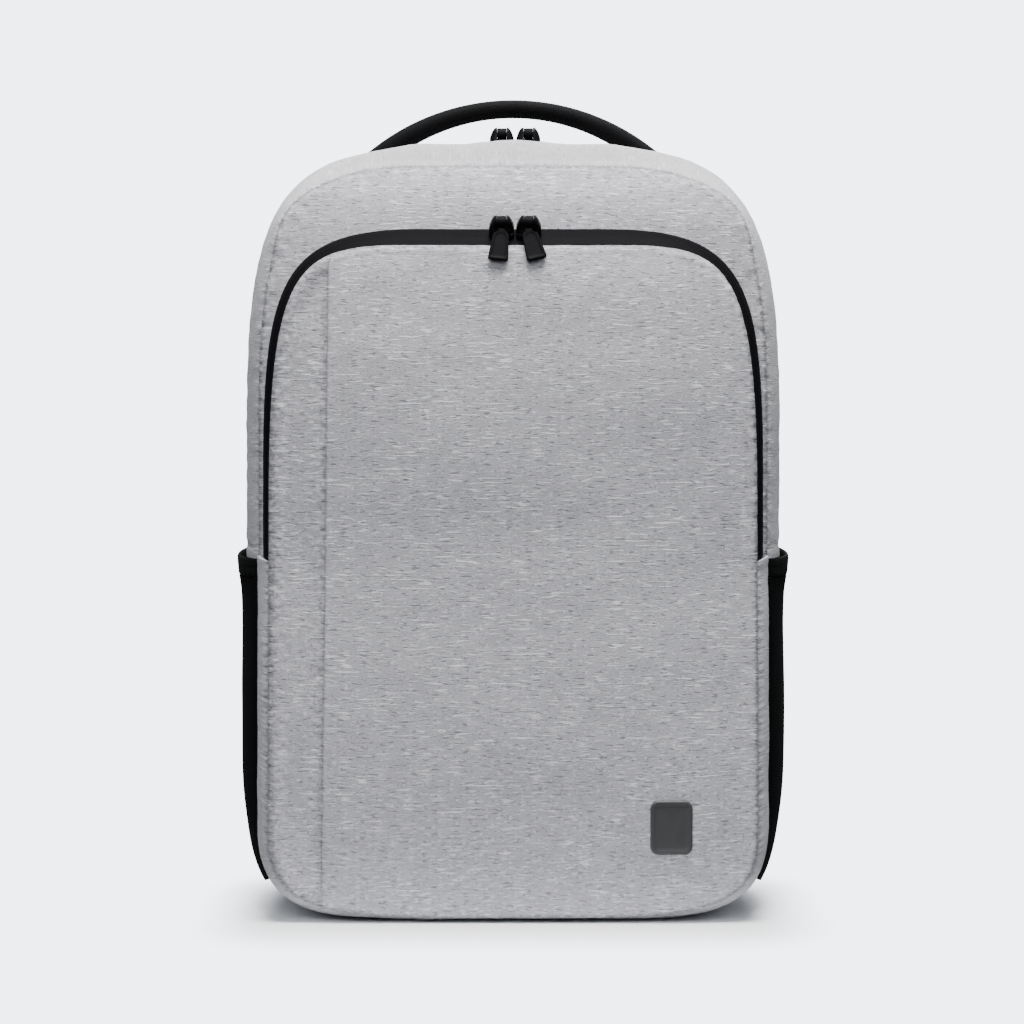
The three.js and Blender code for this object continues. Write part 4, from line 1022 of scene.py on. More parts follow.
def strip_front(x, z, distance):
    inside = edge_distance(np.stack([x, z], 1), face_loop)
    return face_front(x, z) + FOLD_STEP * smooth(inside, CLOTH, FOLD_WIDTH)


# The narrow strip is darkened with painted shade beside the fold that lies over it.
for name, node, x, side, front, roll, pucker in (
    ("pocket_face_cloth", "pocket_face", -SEAM_OFFSET, 1, face_front, 2.0, 0.7),
    ("pocket_side_cloth", "pocket_side_strip", -SEAM_OFFSET + UNDER_FOLD, -1, strip_front, 1.6, 0.6),
):
    part = plate(
        name,
        part_of_face(x, side),
        front,
        PANEL_CLOTH,
        heather,
        roll=roll,
        pucker=pucker,
        seed=51,
        broad_fold=1,
        sewn=face_loop,
        shaded=side < 0,
    )
    settle(part, "heather_cloth", node)

# Bare patch
# A small plain patch of moulded rubber at the lower right of the face, a rectangle with round corners and a
# raised rim. It is glued flat on the cloth and carries no mark.

PATCH_PLACE = (90.0, 55.0)
PATCH_SIZE = (24.0, 31.0)
PATCH_CORNER = PATCH_SIZE[0] / 5
PATCH_THICKNESS = 1.8
PATCH_FIELD = 0.75  # how far the field lies below the rim
PATCH_RIM = ((0, 0.7), (2.0, 2.9))


def rounded_loop(width, height, corner, x, z):
    quarter = np.linspace(0, math.pi / 2, 13)
    w, h = width / 2 - corner, height / 2 - corner
    parts = []
    for k, (cx, cz) in enumerate(((w, h), (-w, h), (-w, -h), (w, -h))):
        turn = quarter + k * math.pi / 2
        parts.append(np.stack([cx + corner * np.cos(turn), cz + corner * np.sin(turn)], 1))
    corners = np.vstack(parts)
    filled = []
    for a, b in zip(corners, np.roll(corners, -1, 0)):
        count = max(1, int(np.linalg.norm(b - a) / 1.2))
        filled.append(a + (b - a) * (np.arange(count) / count)[:, None])
    return np.vstack(filled) + (x, z)


def moulded(name, dark, light, roughness, grain, strength, depth, shine, cloud=140):
    """A moulded or enamelled finish with a fine grain and a faint change of tone."""
    made, tree, shader = shader_of(name, roughness, shine)
    place = add_node(tree, "ShaderNodeTexCoord").outputs["Object"]
    tree.links.new(mixed(tree, lumps(tree, place, cloud, 1), dark, light), shader.inputs["Base Color"])
    raised(tree, shader, lumps(tree, place, grain, 2), strength, depth * MM)
    return made


patch_tones = ((0.034, 0.0345, 0.036, 1), (0.044, 0.0445, 0.0465, 1))
patch_rubber = moulded("moulded_rubber", *patch_tones, 0.5, 1900, 0.3, 0.08, 0.45, cloud=120)


def patch_front(x, z, distance):
    rim = smooth(distance, *PATCH_RIM[0]) * (1 - smooth(distance, *PATCH_RIM[1]))
    return face_front(x, z) - GAP - PATCH_THICKNESS + PATCH_FIELD * (1 - rim)


patch_loop = rounded_loop(*PATCH_SIZE, PATCH_CORNER, *PATCH_PLACE)
patch = plate("bare_patch", patch_loop, patch_front, PATCH_THICKNESS - PATCH_FIELD, patch_rubber, roll=0.15)
settle(patch, "badge_rubber", "badge")

# Side pockets
# A stretch knit pocket on each side, sewn into the gusset's front and back seams and into the base, with a
# thick elastic hem that stands open and gathers the knit below it.

HEM_HEIGHT = 11.0
HEM_CLOTH = 2.6
HEM_FLARE = 7.2
HEM_LEAN = 0.12
HEM_RISE = 4.5
MESH_CLOTH = 1.3
MESH_TOP = SIDE_POCKET_HEIGHT - HEM_HEIGHT
POCKET_SWELL = 4.0
POCKET_EDGE = 0.04  # the share of the gusset's depth left free at each seam
POCKET_STEPS = 60
GATHERS = 15
swell_at = curve_through((0, 0.1, 0.3, 0.6, 0.89, 1), (0.1, 0.6, 0.95, 1.12, 1.1, 1.95))


def open_knit(name, finish, stitches, dimensions, scatter, opening, tones, patches, strength, depth):
    """Black knit with small open stitches, so many a metre along its length and its width."""
    made, tree, shader = shader_of(name, *finish)
    place = cloth_place_in(tree)
    given = {"Vector": times(tree, place, stitches), "Scale": 1, "Randomness": scatter}
    holes = add_node(tree, "ShaderNodeTexVoronoi", given, voronoi_dimensions=dimensions).outputs["Distance"]
    yarn = ranged(tree, holes, *opening)
    factors, low, high = patches
    cloudy = mixed(tree, band_of(tree, place, factors, 0.3, 0.7), grey(low), grey(high))
    tone = mixed(tree, 1.0, mixed(tree, yarn, *tones), cloudy, "MULTIPLY")
    tree.links.new(tone, shader.inputs["Base Color"])
    raised(tree, shader, yarn, strength, depth)
    return made


stretch_knit = open_knit(
    "stretch_knit",
    (0.8, 0.08),
    (1000 / 1.5, 1000 / 1.2, 1),
    "3D",
    0.15,
    (0.25, 0.47),
    (grey(0.0008, 0.0001), (0.0042, 0.0044, 0.0048, 1)),
    ((60, 40, 60), 0.8, 1.15),
    0.6,
    0.0003,
)
hem_elastic = black_cloth("hem_elastic", grey(0.0012, 0.0002), grey(0.0038, 0.0004), 1.0, 0.75, 0.3)


def pocket_foot(share, heights, with_corner):
    """Points up the side of the gusset at a share of its depth, with the outward direction at each."""
    split = SIDE_POCKET_HEIGHT + LAP
    loop = gusset_loop(share, step_in(outline(BODY_SHAPE, split)[:, 1]), split)
    end = STRETCHES[0] + STRETCHES[1]
    picks = slice(STRETCHES[0] + STRETCHES[1] // 2, end + 1, 2) if with_corner else slice(0, 0)
    upper = np.stack([np.full(len(heights), loop[end, 0]), heights], 1)
    foot = np.vstack([loop[picks], upper])
    return foot, np.vstack([loop_normals(loop)[picks], np.tile([1.0, 0.0], (len(heights), 1))])


upright = np.linspace(89, MESH_TOP - GAP, 46)
around = turns(24)
hem_heights = MESH_TOP + HEM_HEIGHT * (0.5 + 0.5 * soft_power(np.sin(around), 0.45))
hem_low = (MESH_TOP + HEM_HEIGHT - hem_heights) / HEM_HEIGHT
for side_name, side in (("left", -1), ("right", 1)):
    knit_rows, knit_spots, hem_rows, hem_spots = [], [], [], []
    for along in np.linspace(0, 1, POCKET_STEPS + 1):
        share = POCKET_EDGE + along * (1 - 2 * POCKET_EDGE)
        cloth_along = share * GUSSET_DEPTH * 1.05
        round_out = math.sin(math.pi * min(max(along, 1e-4), 1 - 1e-4)) ** 0.35
        foot, normal = pocket_foot(share, upright, True)
        spot = points_at(foot[:, 0] * side, gusset_y(share, *foot.T), foot[:, 1])
        gather = np.sin(along * 2 * math.pi * GATHERS + 2.2 * noise_at(spot, (40, 22, 60), 83))
        lift = gather * 0.3 * np.exp(-(MESH_TOP - foot[:, 1]) / 14)
        lift += noise_at(spot, (50, 34, 60), 81 + side) * 0.8 * math.sin(math.pi * along)
        lift += POCKET_SWELL * swell_at(foot[:, 1] / SIDE_POCKET_HEIGHT) * round_out
        outward = points_at(side * normal[:, 0], 0, normal[:, 1])
        outside, inside = (spot + outward * (off + lift)[:, None] for off in (GAP + MESH_CLOTH, GAP + 0.3))
        knit_rows.append(np.vstack([outside, inside[::-1]]))
        place = points_at(cloth_along, length_along(foot), NO_SEAM)
        knit_spots.append(np.vstack([place, place[::-1]]))

        foot, normal = pocket_foot(share, hem_heights, False)
        flare = HEM_FLARE - MESH_CLOTH - (SIDE_POCKET_HEIGHT - hem_heights) * HEM_LEAN
        off = GAP + flare * round_out + HEM_CLOTH * (0.5 + 0.5 * soft_power(np.cos(around), 0.7))
        off += math.sin(along * 2 * math.pi * GATHERS) * 0.2 * hem_low
        rise = HEM_RISE * (1 - along) * (1 - hem_low)
        hem_rows.append(points_at(side * (foot[:, 0] + off), gusset_y(share, *foot.T), hem_heights + rise))
        hem_spots.append(points_at(cloth_along, around * 4, 5.0))
    knit = skin(f"side_pocket_knit_{side_name}", np.array(knit_rows), np.array(knit_spots), stretch_knit)
    settle(knit, "stretch_mesh", f"side_pocket_{side_name}")
    hem = skin(f"side_pocket_hem_band_{side_name}", np.array(hem_rows), np.array(hem_spots), hem_elastic)
    settle(hem, "stretch_mesh", f"side_pocket_hem_{side_name}")

# Top handle
# A padded tube of soft black cloth over webbing, bent into a low arch. Its ends narrow to nothing where
# they are sewn down on the rear strip of the upper gusset.

HANDLE_RADIUS = 136.0
HANDLE_FOOT = 14.5
HANDLE_RISE = 27.0
HANDLE_THICKNESS = 10.4
HANDLE_WIDTH = 22.0
HANDLE_BACK = 14.3
HANDLE_STEPS = 90
handle_cloth = black_cloth(
    "soft_handle_cloth",
    (0.0014, 0.0015, 0.0018, 1),
    (0.0042, 0.0044, 0.005, 1),
    0.8,
    0.62,
    0.25,
    sheen=0.02,
    shine=0.07,
)
handle_y = BACK_FACE - HANDLE_BACK
handle_centre = BODY_HEIGHT + HANDLE_RISE - HANDLE_RADIUS
handle_angle = turns(28)
handle_depth = soft_power(np.cos(handle_angle), 0.55) * HANDLE_WIDTH / 2
handle_out = soft_power(np.sin(handle_angle), 0.75) / 2
seats = []
for depth in handle_depth:
    loop = gusset_loop((INSIDE_BACK - handle_y - depth) / GUSSET_DEPTH)
    seats.append(loop[SPLIT_COLUMN : HALF_COLUMNS + 1][::-1])
handle_end = 0.0
end_radius = HANDLE_RADIUS - 0.5


def over_seat(angle):
    """Whether the handle is still above the gusset at an angle from its middle."""
    seat_height = np.interp(end_radius * math.sin(angle), *seats[7].T)
    return handle_centre + end_radius * math.cos(angle) > seat_height


while over_seat(handle_end):
    handle_end += 0.005
grid, spots = [], []
for angle in np.linspace(-handle_end, handle_end, HANDLE_STEPS + 1):
    thick = HANDLE_THICKNESS + (HANDLE_FOOT - HANDLE_THICKNESS) * (angle / handle_end) ** 2
    radius = HANDLE_RADIUS - thick / 2 + handle_out * thick
    x, z = radius * math.sin(angle), handle_centre + radius * math.cos(angle)
    seat = np.array([np.interp(abs(a), *line.T) for a, line in zip(x, seats)])
    grid.append(points_at(x, handle_y + handle_depth, np.maximum(z, seat + 0.35)))
    spots.append(points_at(angle * HANDLE_RADIUS, handle_angle * 8, NO_SEAM))
handle = skin("top_handle_padded", np.array(grid), np.array(spots), handle_cloth)
settle(handle, "handle_cloth", "top_handle")

# Back pads
# Two long foam pads covered with open spacer knit, sewn to the back panel with a channel between them for
# air. Each swells in the middle and is drawn down along three sewn grooves and round its edge.

PAD_CHANNEL = 18.0
PAD_WIDTH = 96.0
PAD_HEIGHT = 372.0
PAD_BOTTOM = 24.0
PAD_THICKNESS = 12.0
PAD_CORNER = 30.0
PAD_SEAT = BACK_FACE + GAP
PAD_GROOVES = (112.0, 204.0, 296.0)
COVER_STEP = 4.5
COVER_PRESSURE = 4.0
COVER_MOST = 4.0
PAD_EDGE = 3.0
PAD_SPARE = 2.5
GROOVE_WIDTH = 2.6
PIPING_SIZE = (3.2, 3.0)
PAD_STITCH_STEP = 3.4
PAD_STITCH = (2.7, 0.7, 0.6)
SEWN_HEIGHT = PAD_SEAT + 2.2
spacer_knit = open_knit(
    "spacer_knit",
    (0.85, 0.3),
    (330, 280, 0),
    "2D",
    0.2,
    (0.22, 0.42),
    (grey(0.005, 0.001), (0.018, 0.019, 0.021, 1)),
    ((30, 30, 0), 0.85, 1.15),
    0.7,
    0.0006,
)


def places_of(piece):
    spots = np.empty(len(piece.data.vertices) * 3, np.float32)
    piece.data.vertices.foreach_get("co", spots)
    return spots.reshape(-1, 3) / MM


def put_places(piece, spots, material):
    piece.data.vertices.foreach_set("co", (spots * MM).astype(np.float32).ravel())
    piece.data.materials.clear()
    piece.data.materials.append(material)
    piece.data.shade_smooth()
    piece.data.update()


def puff(piece):
    """Fills a closed cover by a short cloth simulation, with its sewn back held where it is."""
    even = piece.modifiers.new("even", "REMESH")
    even.mode = "VOXEL"
    even.voxel_size = COVER_STEP * MM
    even.use_smooth_shade = True
    work_in(piece)
    rest = places_of(piece)
    pins = piece.vertex_groups.new(name="sewn")
    pins.add(np.nonzero(rest[:, 1] < SEWN_HEIGHT)[0].tolist(), 1.0, "REPLACE")
    cloth = piece.modifiers.new("cloth", "CLOTH")
    cloth.settings.vertex_group_mass = "sewn"
    cloth.settings.use_pressure = True
    cloth.settings.uniform_pressure_force = COVER_PRESSURE
    cloth.settings.effector_weights.gravity = 0
    cloth.settings.quality = 5
    for step in range(1, 21):
        scene.frame_set(step)
    shown = piece.evaluated_get(bpy.context.evaluated_depsgraph_get())
    move = places_of(shown) - rest
    piece.modifiers.remove(cloth)
    piece.vertex_groups.clear()
    scene.frame_set(1)
    length = np.maximum(np.linalg.norm(move, axis=1), 1e-6)[:, None]
    rest = rest + move * np.minimum(1, COVER_MOST / length)
    piece.data.vertices.foreach_set("co", (rest * MM).astype(np.float32).ravel())
    piece.data.update()
    finer = piece.modifiers.new("finer", "SUBSURF")
    finer.levels = finer.render_levels = 1
    work_in(piece)


def pad_front(x, z, distance):
    return PAD_SEAT + PAD_EDGE + (PAD_THICKNESS - PAD_EDGE - PAD_SPARE) * smooth(distance, 0, 16)


for side_name, side in (("left", -1), ("right", 1)):
    pad_x, pad_z = side * (PAD_CHANNEL + PAD_WIDTH) / 2, PAD_BOTTOM + PAD_HEIGHT / 2
    pad_loop = rounded_loop(PAD_WIDTH - 3, PAD_HEIGHT - 3, PAD_CORNER, pad_x, pad_z)
    pad = plate(f"back_pad_padded_{side_name}", pad_loop, pad_front, 1.0, spacer_knit, seed=91, facing=1)
    spots = places_of(pad)
    outer_count = (len(PLATE_RINGS) + INNER_RINGS - 1) * len(pad_loop)
    spots[outer_count:-2, 1] = PAD_SEAT
    spots[-1, 1] = PAD_SEAT
    put_places(pad, spots, spacer_knit)
    puff(pad)
    spots = places_of(pad)
    groove = sum(hump(spots[:, 2], z, GROOVE_WIDTH) for z in PAD_GROOVES)
    inside = smooth(PAD_WIDTH / 2 - np.abs(spots[:, 0] - pad_x), 0, 12)
    spots[:, 1] -= np.clip(spots[:, 1] - PAD_SEAT, 0, None) * 0.5 * groove * inside
    spots[:, 1] = np.clip(spots[:, 1], PAD_SEAT, PAD_SEAT + PAD_THICKNESS + 2)
    put_places(pad, spots, spacer_knit)
    put_spots(pad.data, points_at(spots[:, 0], spots[:, 2], NO_SEAM))
    settle(pad, "spacer_mesh", f"back_pad_{side_name}")
    piping = points_at(pad_loop[:, 0], PAD_SEAT + 1.5, pad_loop[:, 1])
    name = f"back_pad_binding_{side_name}"
    settle(tube(name, piping, True, *PIPING_SIZE, binding_cloth, (0, 1, 0)), "webbing")
    for k, z in enumerate(PAD_GROOVES):
        line = points_at(np.linspace(pad_x - 42, pad_x + 42, 60), 0, z)
        beside = spots[np.abs(spots[:, 2] - z) < 2.5]
        near = [beside[np.abs(beside[:, 0] - x) < 3, 1].max() for x in line[:, 0]]
        line[:, 1] = np.convolve(np.pad(near, 3, mode="edge"), np.ones(7) / 7, "valid") - 0.5
        place, way, _ = spaced(line, PAD_STITCH_STEP)
        out = np.tile([0.0, 1.0, 0.0], (len(place), 1))
        name = f"back_pad_stitches_{side_name}_{k}"
        bead_row(name, place, way, out, PAD_STITCH, binding_cloth, "webbing", seed=13 + k)

# Shoulder straps
# Two curved foam straps covered like the back pads, wide over the shoulder and narrow at the end. Each is
# sewn into the top of the back panel, bound along both edges and stitched beside the binding.

STRAP_WIDTH = 62.0
STRAP_THICKNESS = 11.0
STRAP_STEPS = 150
STRAP_ROWS = {
    "across": (0.31, 0.315, 0.33, 0.37, 0.45, 0.55, 0.64, 0.7),
    "stand": (0, 1.2, 2.7, 3.7, 4.2, 4.1, 3.55, 2.9),
    "height": (0.925, 0.935, 0.9, 0.82, 0.68, 0.52, 0.38, 0.285),
    "width": (0.9, 0.92, 0.96, 1, 1, 0.93, 0.8, 0.62),
}
LAST_ROW = 7
TAB_BASE = np.array([BODY_SHAPE["half"] - 36, BACK_FACE + GAP, 33.75])
STITCH_IN = 6.0
STRAP_STITCH_STEP = 3.6
STRAP_STITCH = (2.8, 0.7, 0.55)
STRAP_BINDING = (3.0, 5.6)
EDGE_FALL = 0.55
END_STEPS = 14
strap_curves = {key: curve_through(range(LAST_ROW + 1), column) for key, column in STRAP_ROWS.items()}
strap_end = np.array([0.7 * BODY_SHAPE["half"], BACK_FACE + 2.9 * STRAP_THICKNESS, 0.285 * BODY_HEIGHT])
run_up = unit(strap_end - TAB_BASE)


def strap_point(i):
    across, stand, tall = (strap_curves[key](i) for key in ("across", "stand", "height"))
    return np.array([across * BODY_SHAPE["half"], PAD_SEAT + stand * STRAP_THICKNESS, tall * BODY_HEIGHT])


def strap_crown(off, width):
    return 1 - EDGE_FALL * np.abs(off / (width / 2)) ** 3.5


strap_angle = turns(40)
strap_frames = []
for k in range(STRAP_STEPS + 1):
    i = k / STRAP_STEPS * LAST_ROW
    along = unit(strap_point(min(i + 0.02, LAST_ROW)) - strap_point(max(i - 0.02, 0)))
    ease = smooth(k, 0, END_STEPS)
    along = along * ease + np.array([0, 1.0, 0]) * (1 - ease)
    ease = smooth(STRAP_STEPS - k, 0, END_STEPS)
    along = unit(along * ease - run_up * (1 - ease))
    wide = unit(np.array([1.0, 0, 0]) - along * along[0])
    thick = np.cross(along, wide)
    strap_frames.append((strap_point(i), wide, thick, STRAP_WIDTH * strap_curves["width"](i)))
for side_name, side in (("left", -1), ("right", 1)):
    mirror = np.array([side, 1, 1])
    grid, spots, edges, seams = [], [], {-1: [], 1: []}, {}
    run = 0.0
    for k, (point, wide, thick, width) in enumerate(strap_frames):
        end_ease = 0.55 + 0.45 * smooth(min(k, STRAP_STEPS - k), 0, 9)
        w = soft_power(np.cos(strap_angle), 0.5) * (width / 2 - 0.8)
        t = soft_power(np.sin(strap_angle), 0.8) * STRAP_THICKNESS / 2 * strap_crown(w, width) * end_ease
        grid.append((point + w[:, None] * wide + t[:, None] * thick) * mirror)
        if k:
            run += np.linalg.norm(point - strap_frames[k - 1][0])
        spots.append(points_at(w, run, NO_SEAM))
        for edge in (-1, 1):
            edges[edge].append((point + wide * edge * (width / 2 - 0.9)) * mirror)
            for face in (-1, 1):
                place = edge * (width / 2 - STITCH_IN)
                lift = STRAP_THICKNESS / 2 * strap_crown(place, width) * end_ease
                lift *= (1 - (abs(place) / (width / 2 - 0.8)) ** 4) ** 0.4
                spot = point + wide * place + thick * face * (lift - 0.1)
                seams.setdefault((edge, face), []).append((spot * mirror, thick * face * mirror))
    strap = skin(f"shoulder_strap_padded_{side_name}", np.array(grid), np.array(spots), spacer_knit)
    settle(strap, "spacer_mesh", f"shoulder_strap_{side_name}")
    thick_way = np.array([thick for _, _, thick, _ in strap_frames])[3:-3] * mirror
    for edge, edge_name in ((-1, "inner"), (1, "outer")):
        line = np.array(edges[edge])[3:-3]
        name = f"strap_binding_{side_name}_{edge_name}"
        settle(tube(name, line, False, *STRAP_BINDING, binding_cloth, thick_way), "webbing")
    beads = []
    for rows in seams.values():
        line, out = np.array(rows)[8:-8].transpose(1, 0, 2)
        place, way, at = spaced(line, STRAP_STITCH_STEP)
        picks = np.clip((at / at[-1] * (len(line) - 1)).astype(int), 0, len(line) - 1)
        beads.append((place, way, out[picks]))
    places, ways, outs = (np.vstack(parts) for parts in zip(*beads))
    name = f"strap_stitches_{side_name}"
    bead_row(name, places, ways, outs, STRAP_STITCH, binding_cloth, "webbing", seed=17)

# Adjusters, webbing and tabs
# Below each strap a sewn loop holds a moulded adjuster, and a length of ribbed webbing runs from a tab in
# the lower back seam up through the adjuster and back down to a free tail.


def finish_edges(mesh, material, sharp):
    mesh.materials.clear()
    mesh.materials.append(material)
    mesh.shade_smooth()
    mesh.set_sharp_from_angle(angle=math.radians(sharp))


def softened(node, name, width, segments, material, flat=2.0):
    """A copy of a solid with its doubles merged, its flat faces joined and its edges rounded."""
    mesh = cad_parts[node].data.copy()
    work = bmesh.new()
    work.from_mesh(mesh)
    bmesh.ops.remove_doubles(work, verts=work.verts, dist=2e-6)
    bmesh.ops.dissolve_limit(work, angle_limit=math.radians(flat), verts=work.verts, edges=work.edges)
    bmesh.ops.recalc_face_normals(work, faces=work.faces)
    work.to_mesh(mesh)
    work.free()
    made = put_in(name, mesh)
    rounding = made.modifiers.new("edges", "BEVEL")
    rounding.width = width * MM
    rounding.segments = segments
    rounding.limit_method = "ANGLE"
    rounding.angle_limit = math.radians(28)
    finish_edges(work_in(made), material, 40)
    return made


def shaded_down(tone):
    return tuple(v * 0.8 for v in tone[:3]) + (1,)


adjuster_tone = grey(0.015, 0.0015)
adjuster_plastic = moulded(
    "adjuster_plastic", shaded_down(adjuster_tone), adjuster_tone, 0.38, 1500, 0.4, 0.06, 0.05
)
ribbed_webbing, web_tree, web_shader = shader_of("ribbed_webbing", 0.6, 0.4)
web_place = add_node(web_tree, "ShaderNodeTexCoord").outputs["Object"]
turned = {"Vector": web_place, "Rotation": (0.32, 0.11, 0)}
web_turn = add_node(web_tree, "ShaderNodeMapping", turned, vector_type="POINT").outputs[0]
ribs = {"Vector": web_turn, "Scale": 330, "Distortion": 0.4, "Detail": 1}
web_ribs = add_node(web_tree, "ShaderNodeTexWave", ribs, bands_direction="Z").outputs["Fac"]
web_height = worked(web_tree, "ADD", web_ribs, band_of(web_tree, web_place, (2600, 900, 700), 0.3, 0.7, 1))
web_share = worked(web_tree, "MULTIPLY", web_height, 0.5)
web_tone = mixed(web_tree, web_share, grey(0.007, 0.001), (0.022, 0.0225, 0.0245, 1))
web_tree.links.new(web_tone, web_shader.inputs["Base Color"])
raised(web_tree, web_shader, web_height, 0.6, 0.0002)
for side_name in ("left", "right"):
    for node, name, slot, width, segments, material, flat in (
        ("strap_adjuster", "adjuster_moulded", "moulded_plastic", 0.9, 3, adjuster_plastic, 2),
        ("strap_loop", "sewn_loop", "webbing", 0.5, 2, ribbed_webbing, 6),
        ("strap_webbing", "adjusting_webbing", "webbing", 0.5, 2, ribbed_webbing, 6),
        ("strap_tab", "sewn_tab", "webbing", 0.9, 2, ribbed_webbing, 6),
    ):
        node = f"{node}_{side_name}"
        settle(softened(node, f"{name}_{side_name}", width, segments, material, flat), slot, node)

# Zip sliders
# Two black enamelled cast sliders on each zip, nose to nose: a plate that rides on the tape, and a domed
# hood in two halves with a short pin between them that the puller turns on, over a low saddle.

SLIDER_LENGTH = 14.6
SLIDER_WIDTH = 9.4
PLATE_TOP = 2.7
PLATE_ROWS = ((0, 0.5), (0.25, 0.12), (0.6, 0), (2.2, 0), (PLATE_TOP, 0.2), (3.0, 0.7))
HOOD_RADIUS = 4.2
HOOD_SLOT = 2.7
HOOD_OUT = 4.55
HOOD_ROWS = (0, 0.5, 1.4, 2.4, 3.2, 3.8, 4.2, 4.45, HOOD_OUT)
HOOD_TAPER = 0.45
PIN_HEIGHT = 8.5
PIN_RADIUS = 1.5
SADDLE = ((3.5, 2.4), (3.5, 3.9), (2.9, 4.4), (-2.9, 4.4), (-3.5, 3.9), (-3.5, 2.4))
SLIDER_PLACES = {"left": -6.6, "right": 9.0}
ZIP_SEATS = {
    "front": (-45.17, 392.78, (-0.6155, 0.7882)),
    "top": (8.0, 445.75, (0.2567, 0.9665)),
}
enamel_tone = grey(0.003, 0.0006)
slider_enamel = moulded(
    "gloss_black_enamel", shaded_down(enamel_tone), enamel_tone, 0.34, 700, 0.4, 0.03, 0.09
)


def joined(name, parts, material):
    """Several closed skins made one mesh."""
    work = bmesh.new()
    for part in parts:
        work.from_mesh(part.data)
        bpy.data.meshes.remove(part.data)
    mesh = bpy.data.meshes.new(name)
    work.to_mesh(mesh)
    work.free()
    finish_edges(mesh, material, 42)
    return put_in(name, mesh)


def slider_part(sections, placed):
    """A closed skin over sections: each an x and a closed line of points across and up from the tape."""
    grid = placed(np.array([points_at(x, *np.array(line).T) for x, line in sections]))
    return skin("part", grid, np.full(grid.shape, NO_SEAM), slider_enamel)


def slider_parts(narrow_end, placed):
    """The plate, both halves of the hood, the pin and the saddle below it, moved into the pack's frame."""
    around = turns(40)
    rows = []
    for height, inset in PLATE_ROWS:
        x = soft_power(np.cos(around), 0.35) * (SLIDER_LENGTH / 2 - inset)
        taper = 1 - 0.32 * smooth(x * narrow_end, 0, SLIDER_LENGTH / 2)
        across = soft_power(np.sin(around), 0.35) * (SLIDER_WIDTH / 2 - inset) * taper
        rows.append((x, np.stack([across, 0 * x + height], 1)))
    parts = [slider_part(rows, placed)]
    turn = np.linspace(0, math.pi, 17)
    for side in (-1, 1):
        rows = []
        for out in HOOD_ROWS:
            share = out / HOOD_OUT
            radius = HOOD_RADIUS * math.sqrt(1 - 0.78 * share**3.2) * (1 - 0.1 * share)
            arch = np.stack([np.cos(turn) * radius, PIN_HEIGHT + np.sin(turn) * radius], 1)
            foot = radius * 1.02
            left, right = [(-foot, PIN_HEIGHT * 0.7)], [(foot, PIN_HEIGHT * 0.7)]
            section = np.vstack([arch, left, [(a * foot, PLATE_TOP) for a in (-0.96, 0, 0.96)], right])
            slant = 1 - HOOD_TAPER * smooth(section[:, 1], 4.0, 12.5)
            rows.append((side * (HOOD_SLOT + out * slant), section))
        parts.append(slider_part(rows, placed))
    turn = turns(20)
    pin = np.stack([np.cos(turn) * PIN_RADIUS, PIN_HEIGHT + np.sin(turn) * PIN_RADIUS], 1)
    for section in (pin, SADDLE):
        parts.append(slider_part([(x, section) for x in (-HOOD_SLOT - 0.4, HOOD_SLOT + 0.4)], placed))
    return parts


for zip_name, (seat_y, seat_z, out_way) in ZIP_SEATS.items():
    for side_name, place_x in SLIDER_PLACES.items():

        def on_tape(grid):
            x, across, up = grid[..., 0], grid[..., 1], grid[..., 2] + GAP
            y = seat_y + up * out_way[0] - across * out_way[1]
            return points_at(x + place_x, y, seat_z + up * out_way[1] + across * out_way[0])

        parts = slider_parts(-1 if side_name == "left" else 1, on_tape)
        slider = joined(f"cast_slider_{zip_name}_{side_name}", parts, slider_enamel)
        settle(slider, "zip_hardware", f"slider_{zip_name}_{side_name}")

# Pullers
# A moulded puller on each slider, a little wider at its tip, with a raised rim round a sunk field and a
# small dimple near the tip. Its eye turns on the slider's pin, so each rides on a body of its own.

PULLER_LENGTH = 24.0
PULLER_THICKNESS = 2.2
PULLER_FIELD = 0.45
PULLER_RIM = ((0, 0.55), (1.15, 1.75))  # where the rim rises and falls
DIMPLE_DEPTH = 0.35
TIP_FROM = 22.4
TIP_CORNER = 1.5
DIMPLE_PLACE = 5.6 - PULLER_LENGTH
NECK = 3.0
EYE_RADIUS = 2.85
EYE_WALL = 1.7
EYE_WIDTH = 5.3
PULLER_LEANS = {"left": 6.5, "right": -15.0}
PULLER_TURNS = {"front": -23.5, "top": 58.8}
BEND_FROM = 5.2
BEND_OVER = 3.0
puller_tone = (0.0045, 0.0044, 0.0053, 1)
puller_plastic = moulded(
    "satin_moulded_puller", shaded_down(puller_tone), puller_tone, 0.5, 1500, 0.4, 0.06, 0.035
)
half_at = curve_through((NECK, 4.3, 5.6, 7.4, 9.5, 12, 18, 24), (2.3, 2.35, 2.4, 4.1, 4.75, 4.95, 5.4, 5.9))
blade_drop = np.linspace(NECK, PULLER_LENGTH, 40)
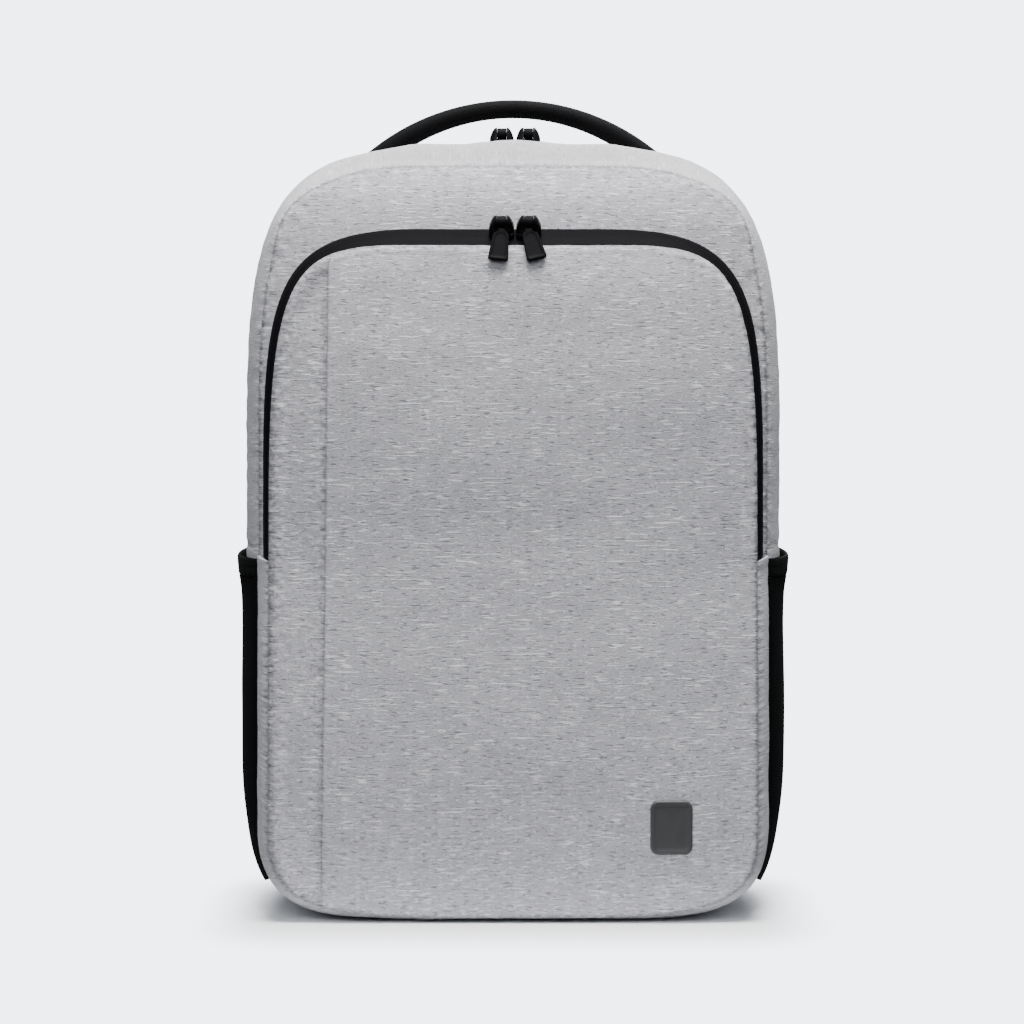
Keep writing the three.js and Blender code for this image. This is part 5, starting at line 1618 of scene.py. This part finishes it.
blade_corner = np.sqrt(np.maximum(0.0, 1 - smooth(blade_drop, TIP_FROM, PULLER_LENGTH) ** 2.4))
blade_side = np.stack([half_at(blade_drop) - TIP_CORNER * (1 - blade_corner), -blade_drop], 1)
blade_loop = np.vstack([blade_side, blade_side[::-1] * (-1, 1)])


def puller_front(x, z, distance):
    rim = smooth(distance, *PULLER_RIM[0]) * (1 - smooth(distance, *PULLER_RIM[1]))
    dimple = np.exp(-((x**2 + (z - DIMPLE_PLACE) ** 2) / 0.5))
    return -PULLER_THICKNESS / 2 + PULLER_FIELD * (1 - rim) + DIMPLE_DEPTH * dimple


def turned_by(a, b, angle):
    return a * np.cos(angle) - b * np.sin(angle), a * np.sin(angle) + b * np.cos(angle)


around = turns(36)
outward = points_at(0, np.cos(around), np.sin(around))
for zip_name, (seat_y, seat_z, out_way) in ZIP_SEATS.items():
    for side_name, place_x in SLIDER_PLACES.items():
        thickness = PULLER_THICKNESS - PULLER_FIELD
        blade = plate("blade", blade_loop, puller_front, thickness, puller_plastic, seed=97)
        line = outward * EYE_RADIUS
        eye = tube("eye", line, True, EYE_WIDTH, EYE_WALL, puller_plastic, outward, 20, 0.35)
        x, y, z = places_of(blade).T
        bend = math.radians(PULLER_LEANS[side_name]) * smooth(-z, BEND_FROM, BEND_FROM + BEND_OVER)
        x, z = turned_by(x, z + BEND_FROM, -bend)
        put_places(blade, points_at(x, y, z - BEND_FROM), puller_plastic)
        puller = joined(f"moulded_puller_{zip_name}_{side_name}", [blade, eye], puller_plastic)
        x, y, z = places_of(puller).T
        y, z = turned_by(y, z, math.radians(PULLER_TURNS[zip_name]))
        pin_y, pin_z = (PIN_HEIGHT + GAP) * np.array(out_way)
        spots = points_at(x + place_x, y + (seat_y + pin_y), z + (seat_z + pin_z))
        puller.data.vertices.foreach_set("co", (spots * MM).astype(np.float32).ravel())
        puller.data.update()
        body = f"{zip_name}_{side_name}_puller"
        settle(puller, "moulded_puller", f"puller_{zip_name}_{side_name}", body=body)
